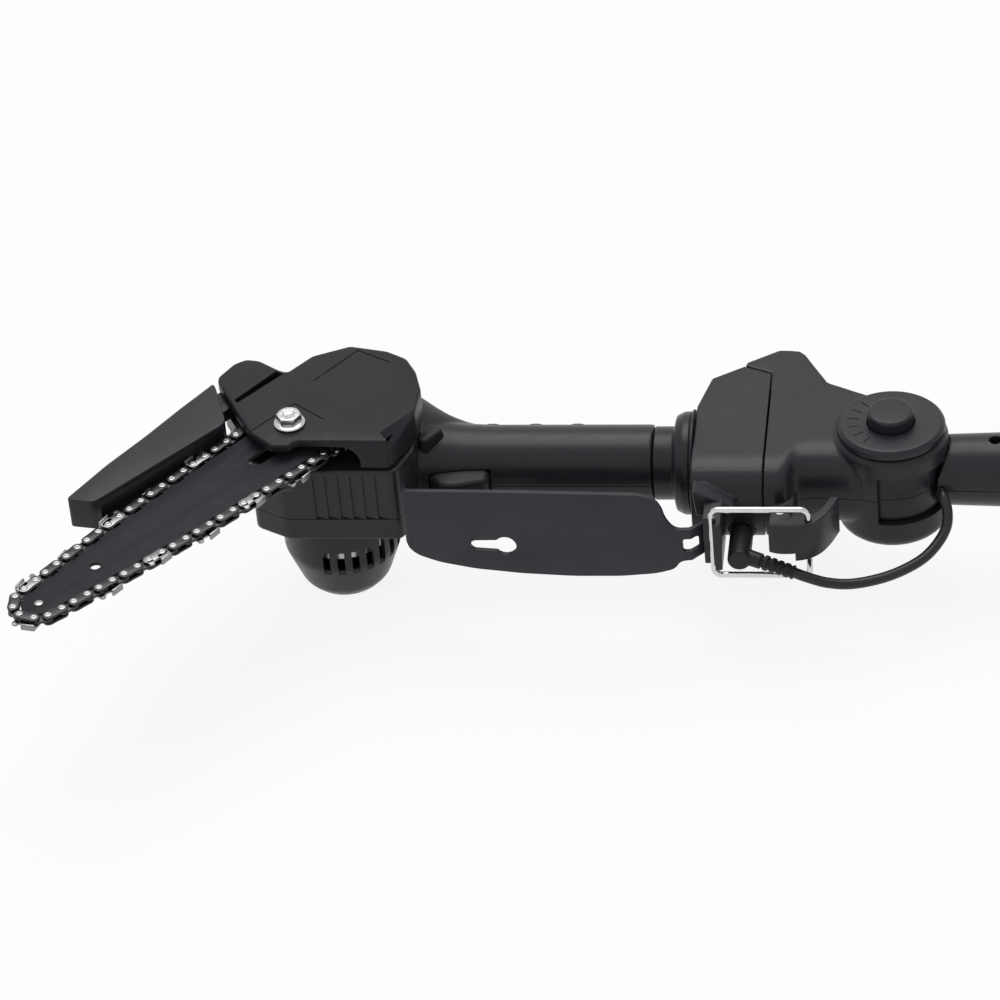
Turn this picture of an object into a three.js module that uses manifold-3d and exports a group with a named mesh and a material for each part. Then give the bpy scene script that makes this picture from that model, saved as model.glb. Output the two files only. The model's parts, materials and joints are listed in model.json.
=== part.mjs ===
// Telescoping pole saw: a compact chain saw clipped to a tilting arm on a telescoping pole.
// Millimetres, +Z up. X runs along the pole, from the saw at -X to the rear grip at +X.
// The origin is the middle of the motor cap's foot, which rests on the ground.
import * as THREE from 'three';
import { mergeVertices } from 'three/addons/utils/BufferGeometryUtils.js';
import Module from 'manifold-3d';

const wasm = await Module();
wasm.setup();

// ---------------------------------------------------------------- driving dimensions
const GAP = 0.3; // clearance between seated pieces
const WALL = 2.2; // moulded shell wall
const AXIS_Z = 50.9; // height of the pole's axis and of every clamshell seam
const DECK_Z = 76; // top of the gear case
const BAR_Z = 83; // middle of the guide bar
const COVER_TOP_Z = 91;
const COVER_SKIN = 2.3;

const BAR_ANGLE = 51.6; // slope of the guide bar from the X axis, degrees
const BAR_REACH = 181; // sprocket centre to nose centre
const BAR_NOSE_R = 7.4;
const BAR_THICK = 2.8;
const BAR_SLOT = 6.6;
const SPROCKET_ROOM = 16; // end of the bar to the sprocket shaft
const BAR_TAIL = BAR_REACH - SPROCKET_ROOM;
const BOLT_BACK = 22.5; // end of the bar to the cover bolt
// distance from the nose centre, and the half width of the bar there
const BAR_FLANK = [[24, 9.8], [50, 12.3], [80, 14.2], [110, 15.5], [BAR_TAIL - 25, 16.2]];
const CHAIN_BAND = 5.2; // height of the chain's links over the bar's edge
const CHAIN_WIDE = 4.4;
const CUTTER_RISE = 3; // how far a cutter stands over the links
const CUTTER_LONG = 9;
const CUTTER_STEP = 25.4;
const CHAIN_WRAP_R = 13.2; // inside of the chain on the sprocket

const GEAR_MODULE = 0.8;
const PINION_TEETH = 9;
const GEAR_TEETH = 39;
const DRIVE_ANGLE = 60.6; // direction of the sprocket shaft from the motor shaft, degrees
const PINION_LONG = 7;
const GEAR_LONG = 5;
const GEAR_Z = 66;
const SHAFT_R = 4;
const MOTOR_SHAFT_R = 1.6;
const SPROCKET_TEETH = 6;
const SPROCKET_TIP_R = 12.6;
const SPROCKET_LONG = 5;
const BEARING_R = 8;
const BEARING_LONG = 4;

const MOTOR_R = 15.5;
const MOTOR_LOW_Z = 7;
const PLATE_Z = 60.5; // underside of the gear plate
const PLATE_LONG = 2.5;
const CAP_FOOT_R = 12.9;
const CAP_KNEE_R = 17.5;
const CAP_KNEE_Z = 5.2;
const CAP_SHOULDER_R = 25;
const CAP_SHOULDER_Z = 21.6;
const BAND_Z = 40; // underside of the motor band
const CAP_VENTS = 9;

const HANDLE_Y = 12.4;
const HANDLE_R = 16.4;
const HANDLE_END = 134.9;
const NECK_R = 15.6;
const FLANGE_R = 21.6;
const FLANGE_X = 147.3;
const DOCK_X = 152.7;
const SPLIT_X = 183.3; // dock to adapter
const DOCK_HALF = 18.6; // half height of dock and adapter
const DOCK_FRONT = -23;

const PIVOT_X = 235.6;
const PIVOT_Y = 8.2;
const CUP_R = 24;
const CUP_LOW_Z = 25.3;
const CHEEK_HALF = 11.4; // half height of the arm's barrel
const BARREL_R = 21.5;
const DIAL_R = 23.2;
const DIAL_TOP_Z = 76.2;
const DIAL_LONG = 4.7;
const BUTTON_R = 9.6;
const BUTTON_RISE = 5.2;
const BUTTON_TRAVEL = 4;
const PIVOT_BOLT_R = 4;
const TILT_OPENING = 103; // the cup is open this far round on the trigger side, degrees

const POLE_Y = 7.8;
const ARM_R = 15.2;
const ARM_END_R = 17;
const ARM_END = 345;
const ARM_BORE_X = 292;
const TUBE_WALL = 1.2;
const INNER_TUBE_R = 11;
const TUBE_STEP = 1.5 + GAP; // radius step from one tube to the next
const INNER_TUBE_END = 800;
const MID_TUBE_X = 392;
const MID_TUBE_END = 860;
const OUTER_TUBE_X = 470;
const OUTER_TUBE_END = 985;
const CLAMP_LONG = 42;
const CLAMP_WALL = 4.2;
const LEVER_LONG = 46;
const FOAM_X = 540;
const FOAM_LONG = 150;
const FOAM_WALL = 4;

const GRIP_X = 930; // front of the rear grip
const GRIP_WALL = 2.6;
const GRIP_END = 1150;
const BATTERY_X = 1042;
const BATTERY_LONG = 104;
const BATTERY_HALF = 36;
const BATTERY_TOP = 36;

const GUARD_PIVOT = [-38, 21]; // the blade guard's pin

// saw housing, outlines seen from above
const FRONT_Y = -26.8;
const CASE = [[-18, FRONT_Y], [30.4, FRONT_Y], [36, -12], [36.3, 17], [24.2, 35], [4.1, 42], [-11.5, 35],
  [-26, 22], [-33, 6], [-33.4, -18.4]];
const COVER = [[-30.7, -19.1], [-20.4, -28.9], [-12.9, -28.9], [-10.4, -25.3], [28.4, -25.8], [36, -6],
  [36.3, 17.3], [24.2, 35.4], [4.1, 42.8], [-11.5, 35.6], [-20.7, 23.8], [-24.3, 25.4], [-33.7, 32.3],
  [-39.6, 33.3], [-44.5, 30.1], [-49.9, 20.5], [-49.6, 17.1], [-38.9, -3.6]];
const HANDLE_SECTION = [[22.5, 27], [21.5, 36], [18.6, 44], [16.9, 54], [HANDLE_R, 66], [HANDLE_R,
  HANDLE_END]];
const TRIGGER = { x0: 41, x1: 66, y0: -13, y1: 2, half: 7.2, travel: 5 };
const LOCK = { x: 41, y: 5, long: 13, wide: 5.2, turn: 53, top: 72.6, low: 62, travel: 2.5 };
const SCREW = { x: 26, z: 57 };
const INLAY = { x0: 58, x1: 112, deep: 1.6, half: 11 };

// hand guard
const PLATE_THICK = 2;

// dock and adapter
const CATCH_X = 159.2;
const DOCK_PLAN = [[DOCK_X, DOCK_FRONT], [SPLIT_X - GAP, DOCK_FRONT], [SPLIT_X - GAP, 51], [171, 56.6],
  [157.8, 47.8], [DOCK_X, 27.5]];
const ADAPTER_PLAN = [[SPLIT_X, DOCK_FRONT], [196, -23], [208, -21], [222, -17.5], [227, -16], [232, -10],
  [232, 31.9], [219.6, 38.3], [207.3, 44.9], [196.8, 65.1], [193.9, 68], [185.6, 68.7], [172, 59.6],
    [171.4, 57.1],
  [SPLIT_X, 51.6]];
const SOCKET = { x: 173.6, z: 41.5, r: 5.6 };

// latch
const HINGE = [191, -36];
const BAIL = { x0: 163, x1: 203, y: -42, low: 33.6, high: 67.6, r: 1.3 };

// plug and lead
const PLUG = { r: 4.9, elbow: -38.4, tip: -43.5, dir: [19.6, -7, -2.5], long: 19, relief: 2.9 };
const LEAD_R = 2.25;

// rear grip
const REAR_TRIGGER = { x0: GRIP_X + 74, x1: GRIP_X + 100, low: AXIS_Z - 27, high: AXIS_Z - 12, half: 6, travel: 5 };
const REAR_LOCK = { x: GRIP_X + 78, long: 16, half: 5, low: AXIS_Z + 10, high: AXIS_Z + 21.4, travel: 2.5 };
const TERMINALS = { x0: BATTERY_X + 18, x1: BATTERY_X + 58, half: 15 };
const GRIP_SECTION = [[17.5, GRIP_X], [20.5, GRIP_X + 6], [21.5, 975], [19.5, 992], [18, 1006], [18, 1050],
  [20, 1075], [22, 1120], [20, GRIP_END]];

// ---------------------------------------------------------------- helpers
const rad = THREE.MathUtils.degToRad;
const V = (x, y, z) => new THREE.Vector3(x, y, z);
const at = (r, degrees, x = 0, y = 0) => [x + r * Math.cos(rad(degrees)), y + r * Math.sin(rad(degrees))];
const arc = (x, y, r, from, to, steps) =>
  Array.from({ length: steps + 1 }, (_, i) => at(r, from + ((to - from) * i) / steps, x, y));

function solid(geometry) {
  const g = geometry.clone();
  for (const name of Object.keys(g.attributes)) if (name !== 'position') g.deleteAttribute(name);
  const merged = mergeVertices(g, 1e-4);
  const vertProperties = new Float32Array(merged.attributes.position.array);
  const triVerts = new Uint32Array(merged.index.array);
  return new wasm.Manifold(new wasm.Mesh({ numProp: 3, vertProperties, triVerts }));
}

function geometryOf(body) {
  const mesh = body.getMesh();
  const g = new THREE.BufferGeometry();
  const xyz = new Float32Array(mesh.numVert * 3);
  for (let i = 0; i < mesh.numVert; i++) {
    for (let k = 0; k < 3; k++) xyz[3 * i + k] = mesh.vertProperties[i * mesh.numProp + k];
  }
  g.setAttribute('position', new THREE.BufferAttribute(xyz, 3));
  g.setIndex(new THREE.BufferAttribute(new Uint32Array(mesh.triVerts), 1));
  g.computeVertexNormals();
  return g;
}

function shapeOf(points, holes = []) {
  const shape = new THREE.Shape(points.map(([x, y]) => new THREE.Vector2(x, y)));
  shape.holes = holes.map((h) => new THREE.Path(h.map(([x, y]) => new THREE.Vector2(x, y))));
  return shape;
}

const extrude = (points, depth, holes) =>
  new THREE.ExtrudeGeometry(shapeOf(points, holes), { depth, bevelEnabled: false });

// prisms along Z, X and Y: an outline in XY, YZ or XZ, between two levels
const prism = (points, z0, z1, holes) => solid(extrude(points, z1 - z0, holes).translate(0, 0, z0));
function prismX(points, x0, x1, holes) {
  const turn = new THREE.Matrix4().makeBasis(V(0, 1, 0), V(0, 0, 1), V(1, 0, 0));
  return solid(extrude(points, x1 - x0, holes).applyMatrix4(turn).translate(x0, 0, 0));
}
function prismY(points, y0, y1, holes) {
  const turn = new THREE.Matrix4().makeBasis(V(1, 0, 0), V(0, 0, 1), V(0, -1, 0));
  return solid(extrude(points, y1 - y0, holes).applyMatrix4(turn).translate(0, y1, 0));
}
const box = (x0, x1, y0, y1, z0, z1) =>
  solid(new THREE.BoxGeometry(x1 - x0, y1 - y0, z1 - z0)
    .translate((x0 + x1) / 2, (y0 + y1) / 2, (z0 + z1) / 2));

// turned bodies: a profile of [radius, level] about an axis along Z, X or Y
const turned = (profile, sides) =>
  new THREE.LatheGeometry(profile.map(([r, h]) => new THREE.Vector2(r, h)), sides);
const turnZ = (profile, x, y, sides = 24) =>
  solid(turned(profile, sides).rotateX(Math.PI / 2).translate(x, y, 0));
const turnX = (profile, y, z, sides = 24) =>
  solid(turned(profile, sides).rotateZ(-Math.PI / 2).translate(0, y, z));
const turnY = (profile, x, z, sides = 16) => solid(turned(profile, sides).translate(x, 0, z));
const rod = (r, a, b) => [[0, a], [r, a], [r, b], [0, b]];
const ring = (inner, outer, a, b) => [[inner, a], [outer, a], [outer, b], [inner, b], [inner, a]];

// a round bar of the given radius through points
function wire(points, r, sides = 8, steps = 24, tension = 'catmullrom') {
  const path = new THREE.CatmullRomCurve3(points.map(([x, y, z]) => V(x, y, z)), false, tension, 0.5);
  const section = shapeOf(arc(0, 0, r, 0, 360 - 360 / sides, sides - 1));
  return solid(new THREE.ExtrudeGeometry(section, { steps, extrudePath: path, bevelEnabled: false }));
}

const object = new THREE.Group();
const paints = {
  shell: { color: 0x2b2b2e, roughness: 0.5, metalness: 0 },
  soft: { color: 0x1c1c1e, roughness: 0.8, metalness: 0 },
  steel: { color: 0x9a9a9c, roughness: 0.35, metalness: 1 },
  dark_steel: { color: 0x3a3a3d, roughness: 0.45, metalness: 1 },
  bright: { color: 0xd8d8da, roughness: 0.2, metalness: 1 },
  tube: { color: 0x26262a, roughness: 0.35, metalness: 0.6 },
  brass: { color: 0xb08d4a, roughness: 0.4, metalness: 1 },
};
function add(name, body, paint = 'shell') {
  const mesh = new THREE.Mesh(geometryOf(body), new THREE.MeshStandardMaterial(paints[paint]));
  mesh.name = name;
  object.add(mesh);
}

// ---------------------------------------------------------------- shared places
const CENTRES = (GEAR_MODULE * (PINION_TEETH + GEAR_TEETH)) / 2; // motor shaft to sprocket shaft
const DRIVE = at(CENTRES, DRIVE_ANGLE);
const ALONG = at(1, BAR_ANGLE);
const NOSE = [DRIVE[0] - BAR_REACH * ALONG[0], DRIVE[1] - BAR_REACH * ALONG[1]];
// a point given along the bar from the nose centre, and sideways from the bar's axis
const onBar = ([s, w]) => [NOSE[0] + s * ALONG[0] - w * ALONG[1], NOSE[1] + s * ALONG[1] + w * ALONG[0]];
const BOLT = onBar([BAR_TAIL - BOLT_BACK, 0]);
const POLE_TUBES = {
  inner: INNER_TUBE_R,
  mid: INNER_TUBE_R + TUBE_STEP,
  outer: INNER_TUBE_R + 2 * TUBE_STEP,
};
const SLEEVE_R = POLE_TUBES.outer + GAP;

// an outline moved inwards by d
function inset(points, d) {
  const area = points.reduce((sum, [x, y], i) => {
    const [u, v] = points[(i + 1) % points.length];
    return sum + x * v - u * y;
  }, 0);
  const ring = area > 0 ? points : [...points].reverse();
  return ring.map((p, i) => {
    const a = ring[(i + ring.length - 1) % ring.length];
    const b = ring[(i + 1) % ring.length];
    const e = new THREE.Vector2(p[0] - a[0], p[1] - a[1]).normalize();
    const f = new THREE.Vector2(b[0] - p[0], b[1] - p[1]).normalize();
    const k = d / Math.max(0.35, 1 + e.dot(f));
    return [p[0] - (e.y + f.y) * k, p[1] + (e.x + f.x) * k];
  });
}

const below = (z) => box(-200, 1300, -200, 200, -50, z);
const above = (z) => box(-200, 1300, -200, 200, z, 200);

// ---------------------------------------------------------------- bar and chain
const mirrored = (half) => [...half, ...[...half].reverse().map(([s, w]) => [s, -w])];
function barOutline(extra) {
  const nose = arc(0, 0, BAR_NOSE_R + extra, 180, 90, 7).slice(1);
  const flank = BAR_FLANK.map(([s, w]) => [s, w + extra]);
  return { nose, flank };
}
function barEdge() {
  const { nose, flank } = barOutline(0);
  const [, wide] = BAR_FLANK[BAR_FLANK.length - 1];
  const tail = [[BAR_TAIL - 7, wide - 2], [BAR_TAIL, wide - 7]];
  return mirrored([[-BAR_NOSE_R, 0.01], ...nose, ...flank, ...tail]).map(onBar);
}
function chainLoop(extra) {
  const { nose, flank } = barOutline(extra);
  const wrap = arc(BAR_REACH, 0, CHAIN_WRAP_R - GAP + extra, 85, 5, 6);
  return mirrored([[-BAR_NOSE_R - extra, 0.01], ...nose, ...flank, ...wrap]).map(onBar);
}
function flankAt(s) {
  const line = [[0, BAR_NOSE_R], ...BAR_FLANK];
  const k = Math.max(1, line.findIndex(([t]) => t >= s));
  const [[s0, w0], [s1, w1]] = [line[k - 1], line[k]];
  return w0 + ((w1 - w0) * (s - s0)) / (s1 - s0);
}
const flat = (r, x, y, sides = 16) => arc(x, y, r, 0, 360 - 360 / sides, sides - 1);

function guideBar() {
  const low = BAR_Z - BAR_THICK / 2;
  const high = BAR_Z + BAR_THICK / 2;
  const half = BAR_SLOT / 2;
  const slotEnds = [BAR_TAIL - 43, BAR_TAIL - 9];
  const slot = [...arc(slotEnds[0], 0, half, 270, 90, 6), ...arc(slotEnds[1], 0, half, 90, -90,
    6)].map(onBar);
  const [px, py] = onBar([BAR_TAIL - 15, 9]);
  const [hx, hy] = onBar([31, 0]);
  return prism(barEdge(), low, high, [flat(2.4, px, py, 12), flat(2.3, hx, hy, 12)])
    .subtract(prism(slot, low - 1, high + 1));
}
function sawChain() {
  const half = CHAIN_WIDE / 2;
  let chain = prism(chainLoop(GAP + CHAIN_BAND), BAR_Z - half, BAR_Z + half);
  for (const side of [1, -1]) {
    for (let s = 8; s < BAR_TAIL - 33; s += CUTTER_STEP) {
      const foot = (t) => flankAt(t) + GAP + CHAIN_BAND - 1;
      const rise = 1 + CUTTER_RISE;
      const e = s + CUTTER_LONG;
      const tooth = [[s, foot(s)], [e, foot(e)], [e, foot(e) + rise], [s + 1.5, foot(s) + rise * 0.85]];
      chain = chain.add(prism(tooth.map(([t, w]) => onBar([t, side * w])), BAR_Z - half, BAR_Z + half));
    }
  }
  return chain.subtract(prism(chainLoop(GAP), BAR_Z - half - 1, BAR_Z + half + 1));
}

// ---------------------------------------------------------------- motor and gearing
// teeth as flat-sided lands, one centred on the phase angle
function gearOutline(teeth, phase) {
  const pitch = (GEAR_MODULE * teeth) / 2;
  const step = 360 / teeth;
  return Array.from({ length: teeth }, (_, i) => {
    const mid = phase + i * step;
    const half = (share, r) => at(r, mid + share * step);
    const [root, tip] = [pitch - GEAR_MODULE * 1.05, pitch + GEAR_MODULE * 0.7];
    return [half(-0.3, root), half(-0.13, tip), half(0.13, tip), half(0.3, root)];
  }).flat();
}
const moved = (points, [x, y]) => points.map(([u, v]) => [u + x, v + y]);
const SHAFT_HOLE = SHAFT_R + 0.15;

function driveTrain() {
  const [gx, gy] = DRIVE;
  const gear = moved(gearOutline(GEAR_TEETH, DRIVE_ANGLE + 180), DRIVE);
  const pinion = gearOutline(PINION_TEETH, DRIVE_ANGLE + 180 / PINION_TEETH);
  const pinionLow = GEAR_Z - (PINION_LONG - GEAR_LONG) / 2;
  add('reduction_gear', prism(gear, GEAR_Z, GEAR_Z + GEAR_LONG, [flat(SHAFT_HOLE, gx, gy)]), 'steel');
  add('motor_pinion', prism(pinion, pinionLow, pinionLow + PINION_LONG,
    [flat(MOTOR_SHAFT_R + 0.15, 0, 0, 12)]), 'brass');
  add('rotor_shaft', turnZ([[0, 4], [MOTOR_SHAFT_R, 4], [MOTOR_SHAFT_R, pinionLow + PINION_LONG + 1],
    [0, pinionLow + PINION_LONG + 1]], 0, 0, 12), 'steel');
  const shaftTop = BAR_Z + SPROCKET_LONG / 2 + 2.4;
  const groove = shaftTop - 1.6;
  add('sprocket_shaft', turnZ([[0, PLATE_Z + PLATE_LONG + GAP], [SHAFT_R, PLATE_Z + PLATE_LONG + GAP],
    [SHAFT_R, groove], [SHAFT_R - 0.8, groove], [SHAFT_R - 0.8, groove + 0.9], [SHAFT_R, groove + 0.9],
    [SHAFT_R, shaftTop], [0, shaftTop]], gx, gy, 16), 'steel');
  const teeth = Array.from({ length: SPROCKET_TEETH }, (_, i) => {
    const mid = BAR_ANGLE + (i * 360) / SPROCKET_TEETH;
    return [at(9, mid - 18), at(SPROCKET_TIP_R, mid - 6), at(SPROCKET_TIP_R, mid + 6), at(9, mid + 18)];
  }).flat();
  const z = BAR_Z - SPROCKET_LONG / 2;
  add('drive_sprocket', prism(moved(teeth, DRIVE), z, z + SPROCKET_LONG, [flat(SHAFT_HOLE, gx, gy)]),
    'steel');
  const clip = [...arc(gx, gy, SHAFT_R - 0.65, 40, 320, 10), ...arc(gx, gy, SHAFT_R + 2.2, 320, 40, 10)];
  add('sprocket_clip', prism(clip, groove + 0.1, groove + 0.8), 'bright');
  const seats = [['lower_bearing', PLATE_Z + PLATE_LONG + GAP], ['upper_bearing', DECK_Z - BEARING_LONG]];
  for (const [name, low] of seats) {
    add(name, turnZ(ring(SHAFT_R + 0.1, BEARING_R - 0.1, low, low + BEARING_LONG - 1.6), gx, gy, 20),
      'bright');
  }
}

function motor() {
  const can = turnZ([[0, MOTOR_LOW_Z], [6, MOTOR_LOW_Z], [MOTOR_R, MOTOR_LOW_Z + 1.5], [MOTOR_R,
    PLATE_Z - GAP],
    [0, PLATE_Z - GAP]], 0, 0, 28);
  add('motor_can', can.subtract(turnZ(rod(MOTOR_SHAFT_R + 0.3, 0, 90), 0, 0, 12)), 'bright');
  const plan = [[-20, -20], [22, -20], [30, 4], [26, 26], [4, 34], [-16, 24]];
  const plate = prism(plan, PLATE_Z, PLATE_Z + PLATE_LONG);
  add('gear_plate', plate.subtract(turnZ(rod(6, 0, 90), 0, 0, 16)), 'dark_steel');
}

function motorCap() {
  const outer = [[0, 0], [CAP_FOOT_R, 0], [CAP_KNEE_R, CAP_KNEE_Z], [CAP_SHOULDER_R, CAP_SHOULDER_Z],
    [CAP_SHOULDER_R, BAND_Z - GAP], [0, BAND_Z - GAP]];
  const inner = [[0, 3], [CAP_FOOT_R - WALL, 3], [CAP_KNEE_R - WALL, CAP_KNEE_Z + 1],
    [CAP_SHOULDER_R - WALL, CAP_SHOULDER_Z + 1], [CAP_SHOULDER_R - WALL, BAND_Z + 9], [0, BAND_Z + 9]];
  let cap = turnZ(outer, 0, 0, 28).subtract(turnZ(inner, 0, 0, 24));
  for (let i = 0; i < CAP_VENTS; i++) {
    const vent = box(11, 32, -1.5, 1.5, 8.2, i < 6 ? 18.5 : 34).rotate([0, 0, -158 + i * 17]);
    cap = cap.subtract(vent);
  }
  const spigot = turnZ(ring(MOTOR_R + GAP, MOTOR_R + 2, 3 - 0.5, 7), 0, 0, 24);
  return cap.add(spigot);
}

// ---------------------------------------------------------------- gear case and handle

function sawHousing() {
  const outside = prism(CASE, BAND_Z, DECK_Z)
    .add(prism(inset(COVER, 1.2), DECK_Z - 9, DECK_Z))
    .add(turnX([[0, 27], ...HANDLE_SECTION, [0, HANDLE_END]], HANDLE_Y, AXIS_Z, 24));
  const bore = HANDLE_SECTION.map(([r, x]) => [r - WALL - 0.3, x]);
  const hollow = prism(inset(CASE, WALL), BAND_Z + WALL, DECK_Z - WALL)
    .add(turnZ(rod(CAP_SHOULDER_R - WALL, 20, BAND_Z + WALL + 1), 0, 0, 28))
    .add(turnX([[0, 20], ...bore, [0, HANDLE_END]], HANDLE_Y, AXIS_Z, 20));
  let shell = outside.subtract(hollow.subtract(box(30, 34, -60, 60, 0, AXIS_Z - 12)));
  const [gx, gy] = DRIVE;
  const carrier = turnZ(ring(BEARING_R, BEARING_R + 2.4, DECK_Z - BEARING_LONG - 1, DECK_Z - 1), gx, gy, 24);
  const post = turnZ(rod(7, BAR_Z - BAR_THICK / 2 - GAP - 11, BAR_Z - BAR_THICK / 2 - GAP), ...BOLT, 20);
  const ear = turnZ(rod(6, DECK_Z - 9, DECK_Z), ...GUARD_PIVOT, 16);
  shell = shell.add(carrier).add(post).add(ear);
  shell = shell.subtract(turnZ(rod(SHAFT_R + 1, 0, 120), gx, gy, 16))
    .subtract(turnZ(rod(BEARING_R, DECK_Z - BEARING_LONG - 2, DECK_Z - 0.9), gx, gy, 20))
    .subtract(turnZ(rod(3.3, 74, 120), ...BOLT, 16))
    .subtract(turnZ(rod(2.8, 70, 120), ...GUARD_PIVOT, 14));
  for (let i = 0; i < 6; i++) {
    shell = shell.subtract(box(-2.6 + 5 * i, -1.4 + 5 * i, FRONT_Y - 1, FRONT_Y + 1, AXIS_Z, DECK_Z - 2));
  }
  const t = TRIGGER;
  const opening = t.half + 0.5;
  shell = shell.subtract(box(t.x0 - 0.6, t.x1 + 0.6, -30, HANDLE_Y, AXIS_Z - opening, AXIS_Z + opening));
  shell = shell.subtract(lockPaddle(0.4, 40, 90)).subtract(turnY(rod(2.6, -40, -20), SCREW.x, SCREW.z));
  shell = shell.subtract(inlayBody(HANDLE_R - INLAY.deep - GAP, HANDLE_R + 3, 0.3));
  add('housing_upper', shell.intersect(above(AXIS_Z)));
  add('housing_lower', shell.intersect(below(AXIS_Z - GAP)));
}
function lockPaddle(extra, z0, z1) {
  const [a, b] = [LOCK.long / 2 - LOCK.wide / 2, LOCK.wide / 2 + extra];
  const outline = [...arc(a, 0, b, -90, 90, 5), ...arc(-a, 0, b, 90, 270, 5)];
  return prism(outline, z0, z1).rotate([0, 0, LOCK.turn]).translate([LOCK.x, LOCK.y, 0]);
}
function inlayBody(inner, outer, extra) {
  const { x0, x1, half } = INLAY;
  const sleeve = turnX(ring(inner, outer, x0 - extra, x1 + extra), HANDLE_Y, AXIS_Z, 32);
  return sleeve.intersect(box(x0 - 2, x1 + 2, HANDLE_Y + 4, 60, AXIS_Z - half - extra,
    AXIS_Z + half + extra));
}

function sprocketCover() {
  const low = DECK_Z + GAP;
  let cover = prism(COVER, low, COVER_TOP_Z);
  cover = cover.subtract(prism(inset(COVER, WALL), low - 1, COVER_TOP_Z - COVER_SKIN));
  const mouth = [[-60, -40], [14, -40], [14, -18], [-20, -18], [-34, 8], [-42, 29], [-60, 29]];
  cover = cover.subtract(prism(mouth, low - 1, COVER_TOP_Z - COVER_SKIN - 1.2));
  const barTop = BAR_Z + BAR_THICK / 2 + GAP;
  cover = cover.add(turnZ(rod(7, barTop, COVER_TOP_Z - 1), ...BOLT, 20));
  cover = cover.subtract(turnZ(rod(3.3, 0, 120), ...BOLT, 16));
  const recess = [[-40.6, 3.6], [-39, 1.4], [-22.2, 22.2], [-25.5, 24.4]];
  cover = cover.subtract(prism(recess, COVER_TOP_Z - 1.2, 120));
  return cover;
}
function coverBolt() {
  const flange = COVER_TOP_Z + GAP;
  const profile = [[0, 74.4], [3, 74.4], [3, flange], [7.2, flange], [7.2, flange + 1.6], [0, flange + 1.6]];
  const shank = turnZ(profile, ...BOLT, 20);
  return shank.add(prism(flat(5.9, ...BOLT, 6), flange + 1, flange + 6.2));
}

function bladeGuard() {
  const outline = [[-51.9, 15.5], [-50, 11.8], [-43.6, -9.5], [-43.9, -13.6], [-91.4, -69.6], [-93.7, -71],
    [-105.7, -68.4], [-88, -36.5], [-74, -14.3], [-62.7, 2.3]];
  const channel = [[-101, -65.6], [-84.8, -35.4], [-71, -13], [-60.3, 2.4], [-53, 12], [-46.6, -9.5],
    [-44, -18], [-41.6, -15.5], [-87.7, -69.8], [-90.5, -67.2]];
  const [low, high] = [77, COVER_TOP_Z + GAP];
  const ear = [[-54, 11.5], [-48.5, -1.5], [-36, 15.2], [-34, 25], [-40, 26.5]];
  return prism(outline, low, high)
    .subtract(prism(channel, low + 2, high - 2))
    .add(prism(ear, 80, 85.5).add(turnZ(rod(6, 80, 85.5), ...GUARD_PIVOT, 20)))
    .subtract(turnZ(rod(2.8, 70, 95), ...GUARD_PIVOT, 14));
}

// ---------------------------------------------------------------- guards, trigger and lock
function handGuard() {
  const face = [[20, 47], [39, 39], [47, 34.3], [72, 30.6], [103, 29.2], [128, 30.6], [146, 34], [149.5, 38],
    [170, 40.5], [170, 56], [149.5, 57], [147.3, 64.2], [142, 68.5], [134, 70.6], [34.5, 72], [20, 68]];
  const line = [[31, -27.4], [33.4, -36], [150, -41.5], [154, -41.2], [CATCH_X - GAP, -36.4]];
  const back = line.map(([x, y]) => [x + 0.4, y + PLATE_THICK]).reverse();
  back[back.length - 1] = [33, -27.4];
  back[0] = [CATCH_X - GAP, -34];
  const sheet = prism([...line, ...back], 20, 80);
  const lug = box(22, 33, FRONT_Y - GAP - PLATE_THICK, FRONT_Y - GAP, 47, 68);
  const keyhole = prismY([...arc(78, 44, 4.2, -150, 150, 10), [65, 46.4], [64.3, 44], [65, 41.6]], -60, -30);
  const slot = prismY([[150.5, 44.5], [157, 44.5], [157, 52], [150.5, 52]], -60, -30);
  const bore = turnY(rod(2.6, -60, 0), SCREW.x, SCREW.z);
  return sheet.intersect(prismY(face, -60, -20)).subtract(keyhole).subtract(slot).add(lug).subtract(bore);
}
function guardScrew() {
  const seat = FRONT_Y - GAP - PLATE_THICK - GAP;
  return turnY([[0, seat - 2], [4.2, seat - 2], [4.2, seat], [2.3, seat], [2.3, FRONT_Y + 1.6], [0,
    FRONT_Y + 1.6]],
    SCREW.x, SCREW.z);
}
function trigger() {
  const { x0, x1, y0, y1, half } = TRIGGER;
  const outline = [[x0, y1], [x0, y0 + 6], [x0 + 4, y0 + 1], [x0 + 10, y0], [x1 - 9, y0 + 1.5], [x1,
    y0 + 4], [x1, y1]];
  return prism(outline, AXIS_Z - half, AXIS_Z + half);
}

// ---------------------------------------------------------------- dock and adapter
// front to back section of dock and adapter, drawn d inside the outer face
function hull(d, x0, x1) {
  const half = DOCK_HALF - d;
  const front = DOCK_FRONT + d;
  const top = [[72, half], [-1, half], [front + 11, half - 3.5], [front + 2.5, half - 11.5], [front, 1.5]];
  const profile = [...top, ...[...top].reverse().map(([y, z]) => [y, -z])];
  return prismX(profile.map(([y, z]) => [y, AXIS_Z + z]), x0, x1);
}
function dock() {
  const shell = prism(DOCK_PLAN, 0, 100).intersect(hull(0, 150, 200));
  const inside = prism(inset(DOCK_PLAN, WALL), 0, 100).add(box(175, 190, DOCK_FRONT, 48.6, 0, 100));
  let body = shell.subtract(inside.intersect(hull(WALL, 150, 200)));
  body = body.add(turnY(rod(SOCKET.r + 2.2, DOCK_FRONT + 3, DOCK_FRONT + 12), SOCKET.x, SOCKET.z, 20));
  body = body.add(box(CATCH_X, CATCH_X + 8, DOCK_FRONT, DOCK_FRONT + 8, AXIS_Z - 9, AXIS_Z + 9));
  return body.subtract(turnY(rod(SOCKET.r + GAP, -40, 0), SOCKET.x, SOCKET.z, 20));
}
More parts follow.
